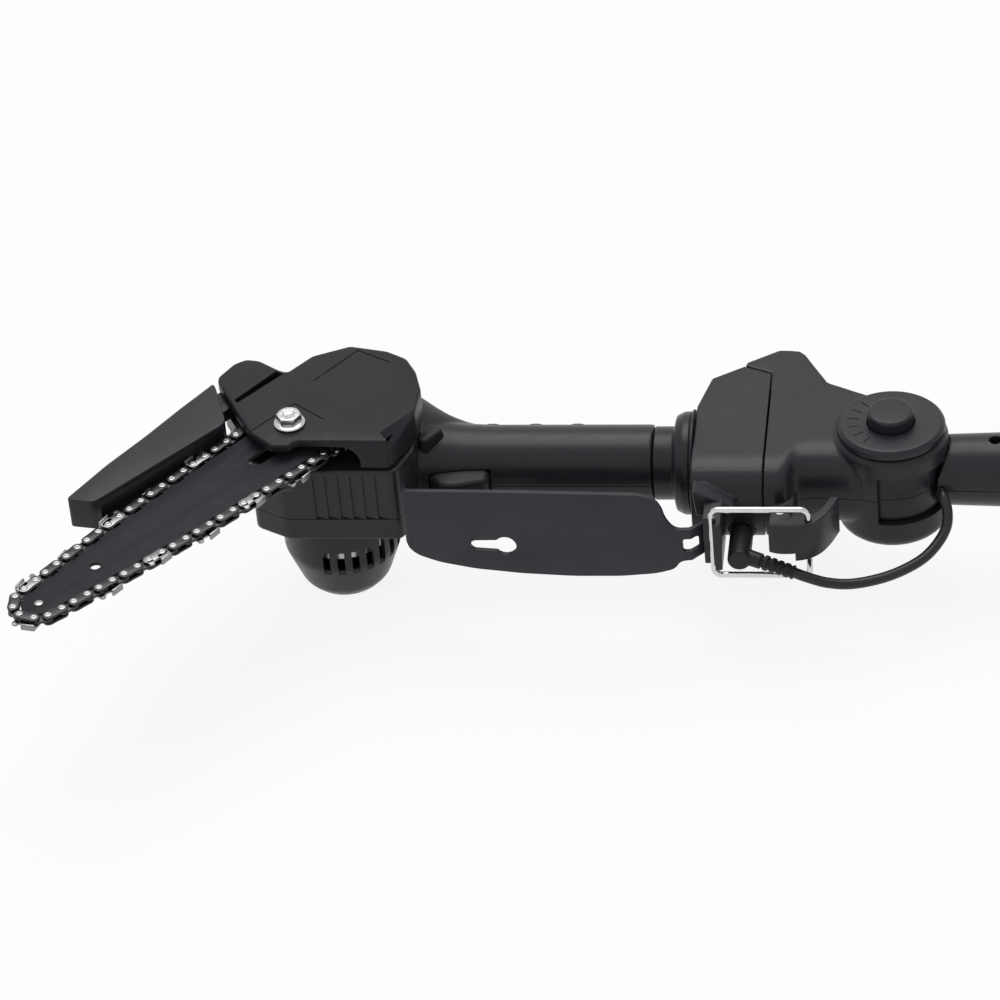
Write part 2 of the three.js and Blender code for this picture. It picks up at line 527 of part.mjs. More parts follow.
function dcSocket() {
  const seat = turnY(ring(2.9, SOCKET.r, DOCK_FRONT + 0.6, DOCK_FRONT + 14), SOCKET.x, SOCKET.z, 20);
  return seat;
}
function adapter() {
  const [px, py] = [PIVOT_X, PIVOT_Y];
  const inner = CHEEK_HALF + GAP;
  let body = prism(ADAPTER_PLAN, 0, 100).intersect(hull(0, 150, 250));
  const cupTop = DIAL_TOP_Z - DIAL_LONG - GAP;
  body = body.add(turnZ([[0, CUP_LOW_Z], [CUP_R - 4, CUP_LOW_Z], [CUP_R, CUP_LOW_Z + 4], [CUP_R, cupTop - 2],
    [CUP_R - 1.6, cupTop], [0, cupTop]], px, py, 28));
  const walls = ADAPTER_PLAN.filter(([x]) => x >= SPLIT_X);
  const rooms = prism(inset(walls, WALL + 0.2), 0, 100).intersect(box(170, 209, -30, 80, 0, 100))
    .add(box(170, 186, DOCK_FRONT, 48, 0, 100));
  body = body.subtract(rooms.intersect(hull(WALL, 150, 250)));
  body = body.subtract(turnZ(rod(BARREL_R + GAP + 0.2, AXIS_Z - inner, AXIS_Z + inner), px, py, 28));
  const sweep = [[px, py], ...arc(px, py, 60, -TILT_OPENING, 42, 10)];
  body = body.subtract(prism(sweep, AXIS_Z - inner, AXIS_Z + inner));
  body = body.subtract(turnZ(rod(PIVOT_BOLT_R + GAP, 0, 90), px, py, 16));
  body = body.subtract(turnZ(rod(7.3, 0, 29.3), px, py, 16));
  body = body.subtract(turnZ(rod(BUTTON_R + GAP, 65.4, 90), px, py, 28));
  const knuckle = prism([[186, -24], [188, DOCK_FRONT + 3], [197, DOCK_FRONT + 3], [194.5, -35], [191, -39.5],
    [187.5, -36]], AXIS_Z - 4.2, AXIS_Z + 4.2);
  body = body.add(knuckle).subtract(turnZ(rod(2, 0, 100), ...HINGE, 12));
  add('adapter_upper', body.intersect(above(AXIS_Z)));
  add('adapter_lower', body.intersect(below(AXIS_Z - GAP)));
}

// ---------------------------------------------------------------- draw latch, plug and lead
function latchCatch() {
  const { x0, y, r } = BAIL;
  const seat = y + r + GAP;
  const lip = x0 + 0.9;
  const outline = [[CATCH_X, DOCK_FRONT - GAP], [CATCH_X, seat], [x0 + r + GAP, seat], [x0 + r + GAP,
    y - r - GAP],
    [lip, y - r - GAP], [lip, y - r - GAP - 2.2], [CATCH_X + 7.6, y - r - GAP - 1.4], [CATCH_X + 7.6,
      DOCK_FRONT - GAP]];
  return prism(outline, 38.2, 61.7);
}
function latchLever() {
  const [hx, hy] = HINGE;
  const outer = [[187.6, -46.6], [197, -46.2], [204.5, -44.6], [209.5, -38.5], [215, -26]];
  const inner = [[211.5, -25.2], [206, -34], [201.5, -39], [196, -39.8], [194.2, hy + 3.4], [188, hy + 3.4],
    [187, -40]];
  const blade = prism([...outer, ...inner], AXIS_Z - 6.8, AXIS_Z + 11.2);
  const relief = box(180, 197.5, -60, -20, 0, AXIS_Z - 2.7);
  const knuckleRoom = box(180, hx + 4.8, hy - 5.5, -20, AXIS_Z - 4.2 - GAP, AXIS_Z + 4.2 + GAP);
  return blade.subtract(relief).subtract(knuckleRoom)
    .subtract(turnZ(rod(2, 0, 100), hx, hy, 12))
    .subtract(turnZ(rod(BAIL.r + GAP, AXIS_Z + 3, 100), BAIL.x1, BAIL.y, 10))
    .subtract(turnZ(rod(BAIL.r + GAP, 0, AXIS_Z - 2), BAIL.x1, BAIL.y, 10));
}
function latchBail() {
  const { x0, x1, y, low, high, r } = BAIL;
  const c = 2.6;
  const points = [[x1, y, AXIS_Z - 3], [x1, y, low + c], [x1 - 0.8, y, low + 0.8], [x1 - c, y, low],
    [x0 + c, y, low],
    [x0 + 0.8, y, low + 0.8], [x0, y, low + c], [x0, y, high - c], [x0 + 0.8, y, high - 0.8], [x0 + c, y,
      high],
    [x1 - c, y, high], [x1 - 0.8, y, high - 0.8], [x1, y, high - c], [x1, y, AXIS_Z + 4]];
  return wire(points, r, 6, 44);
}
function dcPlug() {
  const barrel = turnY(rod(PLUG.r, PLUG.tip, DOCK_FRONT - GAP), SOCKET.x, SOCKET.z, 20);
  const way = V(...PLUG.dir).normalize();
  const to = V(SOCKET.x, PLUG.elbow, SOCKET.z).addScaledVector(way, PLUG.long);
  return barrel.add(wire([[SOCKET.x, PLUG.elbow, SOCKET.z], to.toArray()], PLUG.relief, 12, 1));
}
// the lead's route, from the arm down to the plug's strain relief
const LEAD = [[256.2, -8, 50.9], [257.6, -11.4, 50.2], [259.2, -15.6, 46.8], [258.9, -20.4, 42.4],
  [255.6, -26.4, 38.6], [249.6, -33.3, 35.6], [240.4, -39.6, 33.7], [230.4, -44.4, 33], [219.5, -47.8, 33.3],
  [210, -49, 35], [202, -48.5, 37.4], [196.6, -46.8, 38.5], [191.7, -45, 39.2]];

// ---------------------------------------------------------------- pivot and arm
function pivotDial() {
  const low = DIAL_TOP_Z - DIAL_LONG;
  return turnZ([[BUTTON_R + GAP, low], [DIAL_R - 1, low], [DIAL_R, low + 1], [DIAL_R, low + 2.2],
    [DIAL_R - 2.8, DIAL_TOP_Z], [BUTTON_R + GAP, DIAL_TOP_Z], [BUTTON_R + GAP, low]], PIVOT_X, PIVOT_Y, 32);
}
function angleButton() {
  const top = DIAL_TOP_Z + BUTTON_RISE;
  return turnZ([[0, 70], [BUTTON_R, 70], [BUTTON_R, top - 1], [BUTTON_R - 1, top], [0, top]], PIVOT_X,
    PIVOT_Y, 28);
}
function pivotBolt() {
  return turnZ([[0, 25.6], [7, 25.6], [7, 29], [PIVOT_BOLT_R, 29], [PIVOT_BOLT_R, 65], [0, 65]], PIVOT_X,
    PIVOT_Y, 16);
}
function arm() {
  const [px, py] = [PIVOT_X, PIVOT_Y];
  const tube = turnX([[0, 248], [ARM_R - 0.6, 248], [ARM_R, 268], [ARM_R + 0.6, 288], [ARM_END_R - 0.4, 330],
    [ARM_END_R + 1, 334], [ARM_END_R + 1, ARM_END], [0, ARM_END]], POLE_Y, AXIS_Z, 20);
  const clear = turnZ(rod(CUP_R + 0.6, 0, 100), px, py, 28)
    .subtract(box(200, 280, -40, 60, AXIS_Z - CHEEK_HALF, AXIS_Z + CHEEK_HALF));
  let body = tube.subtract(clear).add(turnZ(rod(BARREL_R, AXIS_Z - CHEEK_HALF, AXIS_Z + CHEEK_HALF), px,
    py, 28));
  body = body.subtract(turnX(rod(INNER_TUBE_R + GAP, ARM_BORE_X, ARM_END + 1), POLE_Y, AXIS_Z, 20))
    .subtract(turnX(rod(8.6, 264, ARM_BORE_X + 1), POLE_Y, AXIS_Z, 20))
    .subtract(turnZ(rod(PIVOT_BOLT_R + GAP, 0, 100), px, py, 16))
    .subtract(turnZ(rod(2.85, AXIS_Z, 100), 279, POLE_Y, 16))
    .subtract(turnZ(rod(2.3, 0, AXIS_Z - 8), 318, POLE_Y, 12));
  add('arm_upper', body.intersect(above(AXIS_Z)));
  add('arm_lower', body.intersect(below(AXIS_Z - GAP)));
  const low = AXIS_Z - INNER_TUBE_R - 5.4;
  add('arm_set_screw', turnZ(rod(2, low, AXIS_Z - INNER_TUBE_R - GAP), 318, POLE_Y, 12), 'bright');
}

// ---------------------------------------------------------------- telescoping pole
const tubeOf = (r, x0, x1) => turnX(ring(r - TUBE_WALL, r, x0, x1), POLE_Y, AXIS_Z, 20);
const CLAMPS = [
  { name: 'front', x: MID_TUBE_X - 10, bore: POLE_TUBES.mid, guide: POLE_TUBES.inner },
  { name: 'rear', x: OUTER_TUBE_X - 10, bore: POLE_TUBES.outer, guide: POLE_TUBES.mid },
];
function clampAt({ name, x, bore, guide }) {
  const outer = bore + GAP + CLAMP_WALL;
  const [inner, nose] = [bore + GAP, guide + GAP];
  const end = x + CLAMP_LONG;
  let collar = turnX([[nose, x], [outer - 1, x], [outer, x + 1], [outer, end], [inner, end], [inner, x + 9.7],
    [nose, x + 9.7], [nose, x]], POLE_Y, AXIS_Z, 20);
  const face = POLE_Y - outer;
  const hinge = [x + 8, face - 4];
  const ears = prism([[x + 3, face + 2], [x + 13, face + 2], [x + 12.5, face - 4], [x + 8, face - 8],
    [x + 3.5, face - 4]], AXIS_Z - 11, AXIS_Z + 11);
  collar = collar.add(ears.subtract(turnX(rod(bore + 2, x - 1, end), POLE_Y, AXIS_Z, 20)))
    .subtract(box(x - 2, x + 14, face - 9, face + 0.6, AXIS_Z - 7.3, AXIS_Z + 7.3))
    .subtract(turnZ(rod(2.3, 0, 100), ...hinge, 10));
  add(`${name}_clamp`, collar);
  const [hx, hy] = hinge;
  const blade = [[hx - 3.2, hy + 1.6], [hx - 3.2, hy - 2.4], [hx, hy - 3.4], [hx + LEVER_LONG * 0.7,
    hy - 1.6],
    [hx + LEVER_LONG, hy - 3.6], [hx + LEVER_LONG + 1, hy - 0.6], [hx + LEVER_LONG * 0.7, hy + 2.4],
      [hx + 8, hy + 3.2]];
  const lever = prism(blade, AXIS_Z - 7, AXIS_Z + 7).add(turnZ(rod(2, AXIS_Z - 10.6, AXIS_Z + 10.6), hx,
    hy, 12));
  add(`${name}_lever`, lever);
}
function pole() {
  add('inner_tube', tubeOf(POLE_TUBES.inner, ARM_BORE_X + GAP, INNER_TUBE_END), 'tube');
  add('mid_tube', tubeOf(POLE_TUBES.mid, MID_TUBE_X, MID_TUBE_END), 'tube');
  add('outer_tube', tubeOf(POLE_TUBES.outer, OUTER_TUBE_X, OUTER_TUBE_END), 'tube');
  CLAMPS.forEach(clampAt);
  const foam = [[SLEEVE_R, FOAM_X], [SLEEVE_R + FOAM_WALL - 1, FOAM_X], [SLEEVE_R + FOAM_WALL, FOAM_X + 2],
    [SLEEVE_R + FOAM_WALL, FOAM_X + FOAM_LONG - 2], [SLEEVE_R + FOAM_WALL - 1, FOAM_X + FOAM_LONG],
    [SLEEVE_R, FOAM_X + FOAM_LONG], [SLEEVE_R, FOAM_X]];
  add('foam_sleeve', turnX(foam, POLE_Y, AXIS_Z, 20), 'soft');
}

// ---------------------------------------------------------------- rear grip and battery
function rearGrip() {
  const foot = { x0: BATTERY_X - 6, x1: GRIP_END, y: BATTERY_HALF + 2.6, low: 29, high: 47 };
  const solidGrip = turnX([[0, GRIP_X], ...GRIP_SECTION, [0, GRIP_END]], POLE_Y, AXIS_Z, 20)
    .add(box(foot.x0, foot.x1, POLE_Y - foot.y, POLE_Y + foot.y, foot.low, foot.high));
  const room = turnX([[0, 960], ...GRIP_SECTION.slice(2, -1).map(([r, x]) => [r - GRIP_WALL, x]),
    [18, GRIP_END - GRIP_WALL], [0, GRIP_END - GRIP_WALL]], POLE_Y, AXIS_Z,
      20).intersect(above(BATTERY_TOP + 5));
  const t = REAR_TRIGGER;
  const l = REAR_LOCK;
  const body = solidGrip.subtract(room)
    .subtract(turnX(rod(SLEEVE_R, GRIP_X - 1, OUTER_TUBE_END + GAP), POLE_Y, AXIS_Z, 20))
    .subtract(box(BATTERY_X - GAP, GRIP_END + 1, POLE_Y - BATTERY_HALF - GAP, POLE_Y + BATTERY_HALF + GAP,
      0, BATTERY_TOP + GAP))
    .subtract(box(TERMINALS.x0, TERMINALS.x1, POLE_Y - TERMINALS.half, POLE_Y + TERMINALS.half, 30,
      BATTERY_TOP + 7))
    .subtract(box(t.x0 - 0.5, t.x1 + 0.5, POLE_Y - t.half - 0.5, POLE_Y + t.half + 0.5, 0, AXIS_Z))
    .subtract(box(l.x - l.long / 2 - 0.4, l.x + l.long / 2 + 0.4, POLE_Y - l.half - 0.4,
      POLE_Y + l.half + 0.4, AXIS_Z, 100));
  add('grip_left', body.intersect(box(GRIP_X - 1, GRIP_END + 1, -100, POLE_Y - GAP / 2, 0, 200)));
  add('grip_right', body.intersect(box(GRIP_X - 1, GRIP_END + 1, POLE_Y + GAP / 2, 150, 0, 200)));
  const pull = [[t.x0, t.high], [t.x0, t.low + 6], [t.x0 + 4, t.low + 1], [t.x0 + 12, t.low], [t.x1,
    t.low + 3], [t.x1, t.high]];
  add('rear_trigger', prismY(pull, POLE_Y - t.half, POLE_Y + t.half));
  add('rear_lock', box(l.x - l.long / 2, l.x + l.long / 2, POLE_Y - l.half, POLE_Y + l.half, l.low, l.high));
  const switchR = 18 - GRIP_WALL - GAP;
  const switchBody = turnX(rod(switchR, 1008, 1030), POLE_Y, AXIS_Z, 20)
    .intersect(box(1000, 1040, POLE_Y - 40, POLE_Y + 40, AXIS_Z - 5, AXIS_Z + 6));
  add('power_switch', switchBody, 'soft');
  add('terminal_block', box(TERMINALS.x0 + GAP, TERMINALS.x1 - GAP,
    POLE_Y - TERMINALS.half + GAP, POLE_Y + TERMINALS.half - GAP, BATTERY_TOP + 2 * GAP,
      BATTERY_TOP + 6.5), 'soft');
}
function battery() {
  const h = BATTERY_HALF;
  const end = BATTERY_X + BATTERY_LONG;
  const section = [[-h + 4, 0], [h - 4, 0], [h, 4], [h, BATTERY_TOP - 1.5], [h - 1.5, BATTERY_TOP],
    [-h + 1.5, BATTERY_TOP], [-h, BATTERY_TOP - 1.5], [-h, 4]];
  const pack = prismX(section.map(([y, z]) => [y + POLE_Y, z]), BATTERY_X, end);
  const pocket = box(end - 8, end + 1, POLE_Y - 11.3, POLE_Y + 11.3, 12.7, 23.3);
  add('battery_pack', pack.subtract(pocket));
  add('battery_release', box(end - 4, end + 2.4, POLE_Y - 11, POLE_Y + 11, 13, 23), 'soft');
}

// ---------------------------------------------------------------- the assembly
sawHousing();
add('motor_cap', motorCap());
motor();
driveTrain();
add('guide_bar', guideBar(), 'dark_steel');
add('saw_chain', sawChain(), 'steel');
add('sprocket_cover', sprocketCover());
add('cover_bolt', coverBolt(), 'bright');
add('blade_guard', bladeGuard());
add('guard_pin', turnZ(rod(2.5, 70.3, COVER_TOP_Z - COVER_SKIN - GAP), ...GUARD_PIVOT, 14), 'steel');
add('guard_spring', turnZ(ring(2.5 + GAP, 4.6, DECK_Z + GAP, 80 - GAP), ...GUARD_PIVOT, 16), 'steel');
add('hand_guard', handGuard(), 'dark_steel');
add('guard_screw', guardScrew(), 'dark_steel');
add('grip_inlay', inlayBody(HANDLE_R - INLAY.deep, HANDLE_R + 0.5, 0), 'soft');
add('trigger', trigger(), 'soft');
add('trigger_switch', box(48.5, 62, 9, 15, AXIS_Z - 13.2, AXIS_Z + 13.2), 'soft');
add('lock_button', lockPaddle(0, LOCK.low, LOCK.top), 'soft');
add('neck_ring', turnX([[12, HANDLE_END + GAP], [NECK_R, HANDLE_END + GAP], [NECK_R, FLANGE_X], [FLANGE_R,
  FLANGE_X],
  [FLANGE_R, DOCK_X - GAP], [12, DOCK_X - GAP], [12, HANDLE_END + GAP]], HANDLE_Y, AXIS_Z, 32));
add('battery_dock', dock());
add('dc_socket', dcSocket(), 'soft');
add('latch_catch', latchCatch());
adapter();
add('latch_lever', latchLever());
add('lever_pin', turnZ(rod(1.7, AXIS_Z - 4, AXIS_Z + 10.6), ...HINGE, 12), 'steel');
add('latch_bail', latchBail(), 'bright');
add('dc_plug', dcPlug(), 'soft');
add('power_lead', wire(LEAD, LEAD_R, 8, 20), 'soft');
add('pivot_dial', pivotDial());
add('angle_button', angleButton(), 'soft');
add('pivot_bolt', pivotBolt(), 'steel');
arm();
pole();
rearGrip();
battery();

export default object;
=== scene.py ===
"""Telescoping pole saw: the looks, built over the CAD frame."""
import json
import math

import bmesh
import bpy
from mathutils import Euler, Matrix, Vector


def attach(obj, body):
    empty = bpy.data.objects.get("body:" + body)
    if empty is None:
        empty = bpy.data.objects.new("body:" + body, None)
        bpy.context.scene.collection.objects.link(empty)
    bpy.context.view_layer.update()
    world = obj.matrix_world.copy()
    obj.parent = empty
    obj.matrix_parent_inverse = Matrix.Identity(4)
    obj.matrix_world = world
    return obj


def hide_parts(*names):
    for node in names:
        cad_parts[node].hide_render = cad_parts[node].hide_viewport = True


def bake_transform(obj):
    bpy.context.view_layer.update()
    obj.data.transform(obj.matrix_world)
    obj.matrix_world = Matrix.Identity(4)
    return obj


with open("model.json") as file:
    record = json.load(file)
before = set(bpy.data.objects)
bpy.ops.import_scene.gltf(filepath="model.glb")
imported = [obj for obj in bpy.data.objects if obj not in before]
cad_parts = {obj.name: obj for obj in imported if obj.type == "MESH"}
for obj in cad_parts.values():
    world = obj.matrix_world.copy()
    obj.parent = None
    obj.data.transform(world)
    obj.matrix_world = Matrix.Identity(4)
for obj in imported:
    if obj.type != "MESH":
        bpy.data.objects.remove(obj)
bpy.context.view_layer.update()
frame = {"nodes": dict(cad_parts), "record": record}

MM = 0.001
RECORD = frame["record"]
BODY_OF = {n: b for b, nodes in RECORD["behaviour"]["bodies"].items() for n in nodes}
SLOT_OF = {s["node"]: s["material_slot"] for s in RECORD["subparts"]}
rad = math.radians

# sizes and places shared with the CAD model, in millimetres and degrees
AXIS_Z = 50.9  # the plane in which the shells meet
DECK_Z = 76
BAR_Z = 83
COVER_TOP_Z = 91
BAR_ANGLE = 51.6
BAR_REACH = 181  # from the nose wheel to the drive sprocket
COVER_BOLT_S = 142.5  # from the nose wheel to the cover's bolt
DRIVE = (9.425, 16.727)
HANDLE_Y = 12.4
HANDLE_AXIS = (HANDLE_Y, AXIS_Z)
POLE_Y = 7.8
POLE_AXIS = (POLE_Y, AXIS_Z)
PIVOT = (235.6, 8.2)
FRONT_Y = -26.8
MEET_X = 183.15  # where the dock and the adapter meet
NEAR_Y = -23  # the near side of both
WALL = 2.2
SKIN_WALL = WALL + 0.4
SEAM = 0.3  # the open line between two shells
LOCK, LOCK_TURN = (41, 5), 53
INLAY, INLAY_HALF = (58, 112), 11
GUARD_PIN = (-38, 21)
LATCH_PIN = (191, -36)
BAIL_PIVOT = (203, -42)
SOCKET = (173.6, 41.5)  # x and z, as for the screw below
GUARD_SCREW = (26, 57)
CASE = [(-18, FRONT_Y), (30.4, FRONT_Y), (36, -12), (36.3, 17), (24.2, 35), (4.1, 42), (-11.5, 35), (-26, 22),
        (-33, 6), (-33.4, -18.4)]
COVER = [(-30.7, -19.1), (-20.4, -28.9), (-12.9, -28.9), (-10.4, -25.3), (28.4, -25.8), (37.4, -5),
         (38.2, 11), (34.6, 24), (29.4, 33.6), (20.6, 39), (4.1, 42.8), (-11.5, 35.6), (-20.7, 23.8),
         (-24.3, 25.4), (-33.7, 32.3), (-39.6, 33.3), (-44.5, 30.1), (-49.9, 20.5), (-49.6, 17.1),
         (-38.9, -3.6)]
HANDLE_SECTION = [(22.5, 27), (21.5, 36), (18.6, 44), (16.9, 54), (16.4, 66), (16.4, 134.9)]
DOCK_PLAN = [(152.7, NEAR_Y), (MEET_X, NEAR_Y), (MEET_X, 51), (171, 56.6), (157.8, 47.8), (152.7, 27.5)]
ADAPTER_NEAR = [(MEET_X, NEAR_Y), (189, NEAR_Y), (192.5, -20.5), (196, -14.5), (201, -12.2), (209, -12),
                (222, -13.5), (232, -9)]
ADAPTER_PLAN = [*ADAPTER_NEAR, (232, 31.9), (219.6, 38.3), (207.3, 44.9), (196.8, 65.1), (193.9, 68),
                (185.6, 68.7), (172, 59.6), (171.4, 57.1), (MEET_X, 51.6)]
LEAD = [(256.2, -8, 50.9), (257.6, -11.4, 50.2), (259.2, -15.6, 46.8), (258.9, -20.4, 42.4),
        (255.6, -26.4, 38.6), (249.6, -33.3, 35.6), (240.4, -39.6, 33.7), (230.4, -44.4, 33),
        (219.5, -47.8, 33.3), (210, -49, 35), (202, -48.5, 37.4), (196.6, -46.8, 38.5), (191.7, -45, 39.2)]
LEAD_R = 2.25


# -------------------- mesh helpers, in millimetres
def added(name, data):
    obj = bpy.data.objects.new(name, data)
    bpy.context.scene.collection.objects.link(obj)
    return obj


def put(bm, name="tool"):
    """The finished mesh as an object in the scene."""
    bmesh.ops.recalc_face_normals(bm, faces=bm.faces)
    mesh = bpy.data.meshes.new(name)
    bm.to_mesh(mesh)
    bm.free()
    return added(name, mesh)


def add_ring(bm, outline, w, axis):
    """The outline's points as vertices, at w along the axis."""
    order = {"X": (2, 0, 1), "Y": (0, 2, 1), "Z": (0, 1, 2)}[axis]
    return [bm.verts.new(Vector([(u, v, w)[k] for k in order]) * MM) for u, v in outline]


def loft(bm, rings):
    """A closed skin over rings that have the same number of vertices."""
    for low, high in zip(rings, rings[1:]):
        for k in range(len(low)):
            j = (k + 1) % len(low)
            bm.faces.new((low[k], low[j], high[j], high[k]))
    bm.faces.new(rings[0])
    bm.faces.new(rings[-1])


def add_prism(bm, outline, a, b, axis="Z"):
    rings = [add_ring(bm, outline, w, axis) for w in (a, b)]
    loft(bm, rings)
    return rings[0] + rings[1]


def prisms(outlines, a, b, axis="Z"):
    """Flat-ended solids from a to b along the axis, as one object."""
    bm = bmesh.new()
    for outline in outlines:
        add_prism(bm, outline, a, b, axis)
    return put(bm)


def prism(outline, a, b, axis="Z"):
    return prisms([outline], a, b, axis)


def box(x0, x1, y0, y1, z0, z1):
    return prism([(x0, y0), (x1, y0), (x1, y1), (x0, y1)], z0, z1)


def add_lathe(bm, profile, axis, centre, steps):
    """Turns (radius, height) points round an axis through centre. A profile off the axis closes on itself."""
    rings = []
    for r, t in profile:
        outline = arc(*centre, r, 0, 360, steps)[:-1] if r > 0 else [centre]
        rings.append(add_ring(bm, outline, t, axis))
    loop = [(rings[-1], rings[0])] if profile[0][0] > 0 else []
    for low, high in [*zip(rings, rings[1:]), *loop]:
        for i in range(steps):
            j = (i + 1) % steps
            corners = [low[i % len(low)], low[j % len(low)], high[j % len(high)], high[i % len(high)]]
            bm.faces.new(list(dict.fromkeys(corners)))


def lathe(profile, axis, centre, steps):
    bm = bmesh.new()
    add_lathe(bm, profile, axis, centre, steps)
    return put(bm)


def rod(r, a, b):
    """The profile of a solid cylinder from a to b."""
    return [(0, a), (r, a), (r, b), (0, b)]


def sleeve(inner, outer, a, b):
    """The profile of a hollow cylinder from a to b."""
    return [(inner, a), (outer, a), (outer, b), (inner, b)]


def pin(r, a, b, place, steps=24):
    """An upright cylinder, for a pin or its hole."""
    return lathe(rod(r, a, b), "Z", place, steps)


def on_handle(profile, steps=96):
    return lathe(profile, "X", HANDLE_AXIS, steps)


def on_pole(profile, steps=96):
    return lathe(profile, "X", POLE_AXIS, steps)


def about(half, middle=AXIS_Z):
    """The two places at half from the middle, which is the shells' seam plane unless given."""
    return middle - half, middle + half


def rounded(points, radius, steps=4, sharp=()):
    """The outline with its corners rounded, but not those in sharp and not a profile's ends on the axis."""
    out = []
    n = len(points)
    if points[0][0] == 0 and points[-1][0] == 0:
        sharp = (0, n - 1)
    for i, p in enumerate(points):
        p = Vector(p)
        if i in sharp:
            out.append(tuple(p))
            continue
        a, b = Vector(points[i - 1]) - p, Vector(points[(i + 1) % n]) - p
        reach = min(radius, 0.45 * a.length, 0.45 * b.length)
        a, b = p + a.normalized() * reach, p + b.normalized() * reach
        for k in range(steps + 1):
            t = k / steps
            out.append(tuple(a * (1 - t) ** 2 + p * 2 * t * (1 - t) + b * t ** 2))
    return out


def inset(points, d):
    """A counter-clockwise outline moved inwards by d."""
    out = []
    for i, p in enumerate(points):
        p = Vector(p)
        e = (p - Vector(points[i - 1])).normalized()
        f = (Vector(points[(i + 1) % len(points)]) - p).normalized()
        k = d / max(0.35, 1 + e.dot(f))
        out.append((p.x - (e.y + f.y) * k, p.y + (e.x + f.x) * k))
    return out


def stroke(points, width):
    """The outline of a line of even width along the points."""
    p = [Vector(q) for q in points]
    left, right = [], []
    for before, q, after in zip([p[0] * 2 - p[1], *p], p, [*p[1:], p[-1] * 2 - p[-2]]):
        e, f = (q - before).normalized(), (after - q).normalized()
        side = Vector((-(e.y + f.y), e.x + f.x)) * width / 2 / (1 + e.dot(f))
        left.append(tuple(q + side))
        right.append(tuple(q - side))
    return right + left[::-1]


def arc(x, y, r, start, end, steps):
    return [(x + r * math.cos(rad(start + (end - start) * i / steps)),
             y + r * math.sin(rad(start + (end - start) * i / steps))) for i in range(steps + 1)]


def turned(outline, degrees, place):
    """An outline turned about its own origin and moved to place."""
    c, s = math.cos(rad(degrees)), math.sin(rad(degrees))
    return [(place[0] + x * c - y * s, place[1] + x * s + y * c) for x, y in outline]


def curve_points(points, per):
    """A smooth line through the points, with per steps between each two."""
    p = [Vector(q) for q in points]
    p = [p[0] * 2 - p[1], *p, p[-1] * 2 - p[-2]]
    out = []
    for k in range(1, len(p) - 2):
        for i in range(per):
            t = i / per
            out.append(0.5 * (2 * p[k] + (p[k + 1] - p[k - 1]) * t
                              + (2 * p[k - 1] - 5 * p[k] + 4 * p[k + 1] - p[k + 2]) * t ** 2
                              + (3 * p[k] - p[k - 1] - 3 * p[k + 1] + p[k + 2]) * t ** 3))
    return out + [p[-2]]


def smooth_outline(points, per):
    """curve_points for a flat outline."""
    return [(p.x, p.y) for p in curve_points([(x, y, 0) for x, y in points], per)]


def tube(points, radius, sides=20):
    """A closed tube along points. radius is a number or a function of the way along, 0 to 1."""
    bm = bmesh.new()
    rings = []
    side = None
    for i, p in enumerate(points):
        ahead = (points[min(i + 1, len(points) - 1)] - points[max(i - 1, 0)]).normalized()
        side = side or ahead.orthogonal()
        side = (side - ahead * side.dot(ahead)).normalized()
        other = ahead.cross(side)
        r = radius(i / (len(points) - 1)) if callable(radius) else radius
        section = arc(0, 0, r, 0, 360, sides)[:-1]
        rings.append([bm.verts.new((p + side * u + other * v) * MM) for u, v in section])
    loft(bm, rings)
    return put(bm)


def applied(obj, kind, **settings):
    """obj with one modifier worked into its mesh."""
    modifier = obj.modifiers.new("step", kind)
    for key, value in settings.items():
        setattr(modifier, key, value)
    graph = bpy.context.evaluated_depsgraph_get()
    mesh = bpy.data.meshes.new_from_object(obj.evaluated_get(graph))
    obj.modifiers.clear()
    old, obj.data = obj.data, mesh
    bpy.data.meshes.remove(old)
    return obj


def combine(obj, tools, operation):
    for tool in tools:
        applied(obj, "BOOLEAN", operation=operation, object=tool, solver="EXACT")
        bpy.data.objects.remove(tool)
    return obj


def cut(obj, *tools):
    return combine(obj, tools, "DIFFERENCE")


def overlap(obj, *tools):
    return combine(obj, tools, "INTERSECT")


def joined(*objs):
    """One object that holds all of the solids, each as it is."""
    bm = bmesh.new()
    for obj in objs:
        bm.from_mesh(obj.data)
        bpy.data.objects.remove(obj)
    return put(bm)


def fused(*objs, voxel, relax):
    """One skin round all of the solids, with softened edges."""
    obj = joined(*objs)
    applied(obj, "REMESH", mode="VOXEL", voxel_size=voxel * MM, use_smooth_shade=True)
    return applied(obj, "SMOOTH", factor=0.5, iterations=relax)


def bevelled(obj, width, segments=3, angle=28):
    return applied(obj, "BEVEL", width=width * MM, segments=segments, limit_method="ANGLE",
                   angle_limit=rad(angle))


def half_of(obj, place, above, axis=(0, 0, 1)):
    """A copy of the part of obj on one side of a plane across axis, closed there."""
    bm = bmesh.new()
    bm.from_mesh(obj.data)
    geom = bm.verts[:] + bm.edges[:] + bm.faces[:]
    result = bmesh.ops.bisect_plane(bm, geom=geom, plane_co=Vector(axis) * place * MM, plane_no=axis,
                                    clear_inner=above, clear_outer=not above)
    rim = [e for e in result["geom_cut"] if isinstance(e, bmesh.types.BMEdge)]
    bmesh.ops.triangle_fill(bm, edges=rim, use_beauty=False)
    return put(bm)


def from_cad(node, bevel, segments=2):
    """The CAD's own solid of a node, cleaned and with its edges bevelled."""
    bm = bmesh.new()
    bm.from_mesh(frame["nodes"][node].data)
    bmesh.ops.remove_doubles(bm, verts=bm.verts, dist=1e-6)
    bmesh.ops.dissolve_limit(bm, angle_limit=rad(0.5), verts=bm.verts, edges=bm.edges)
    obj = put(bm)
    return bevelled(obj, bevel, segments) if bevel else obj


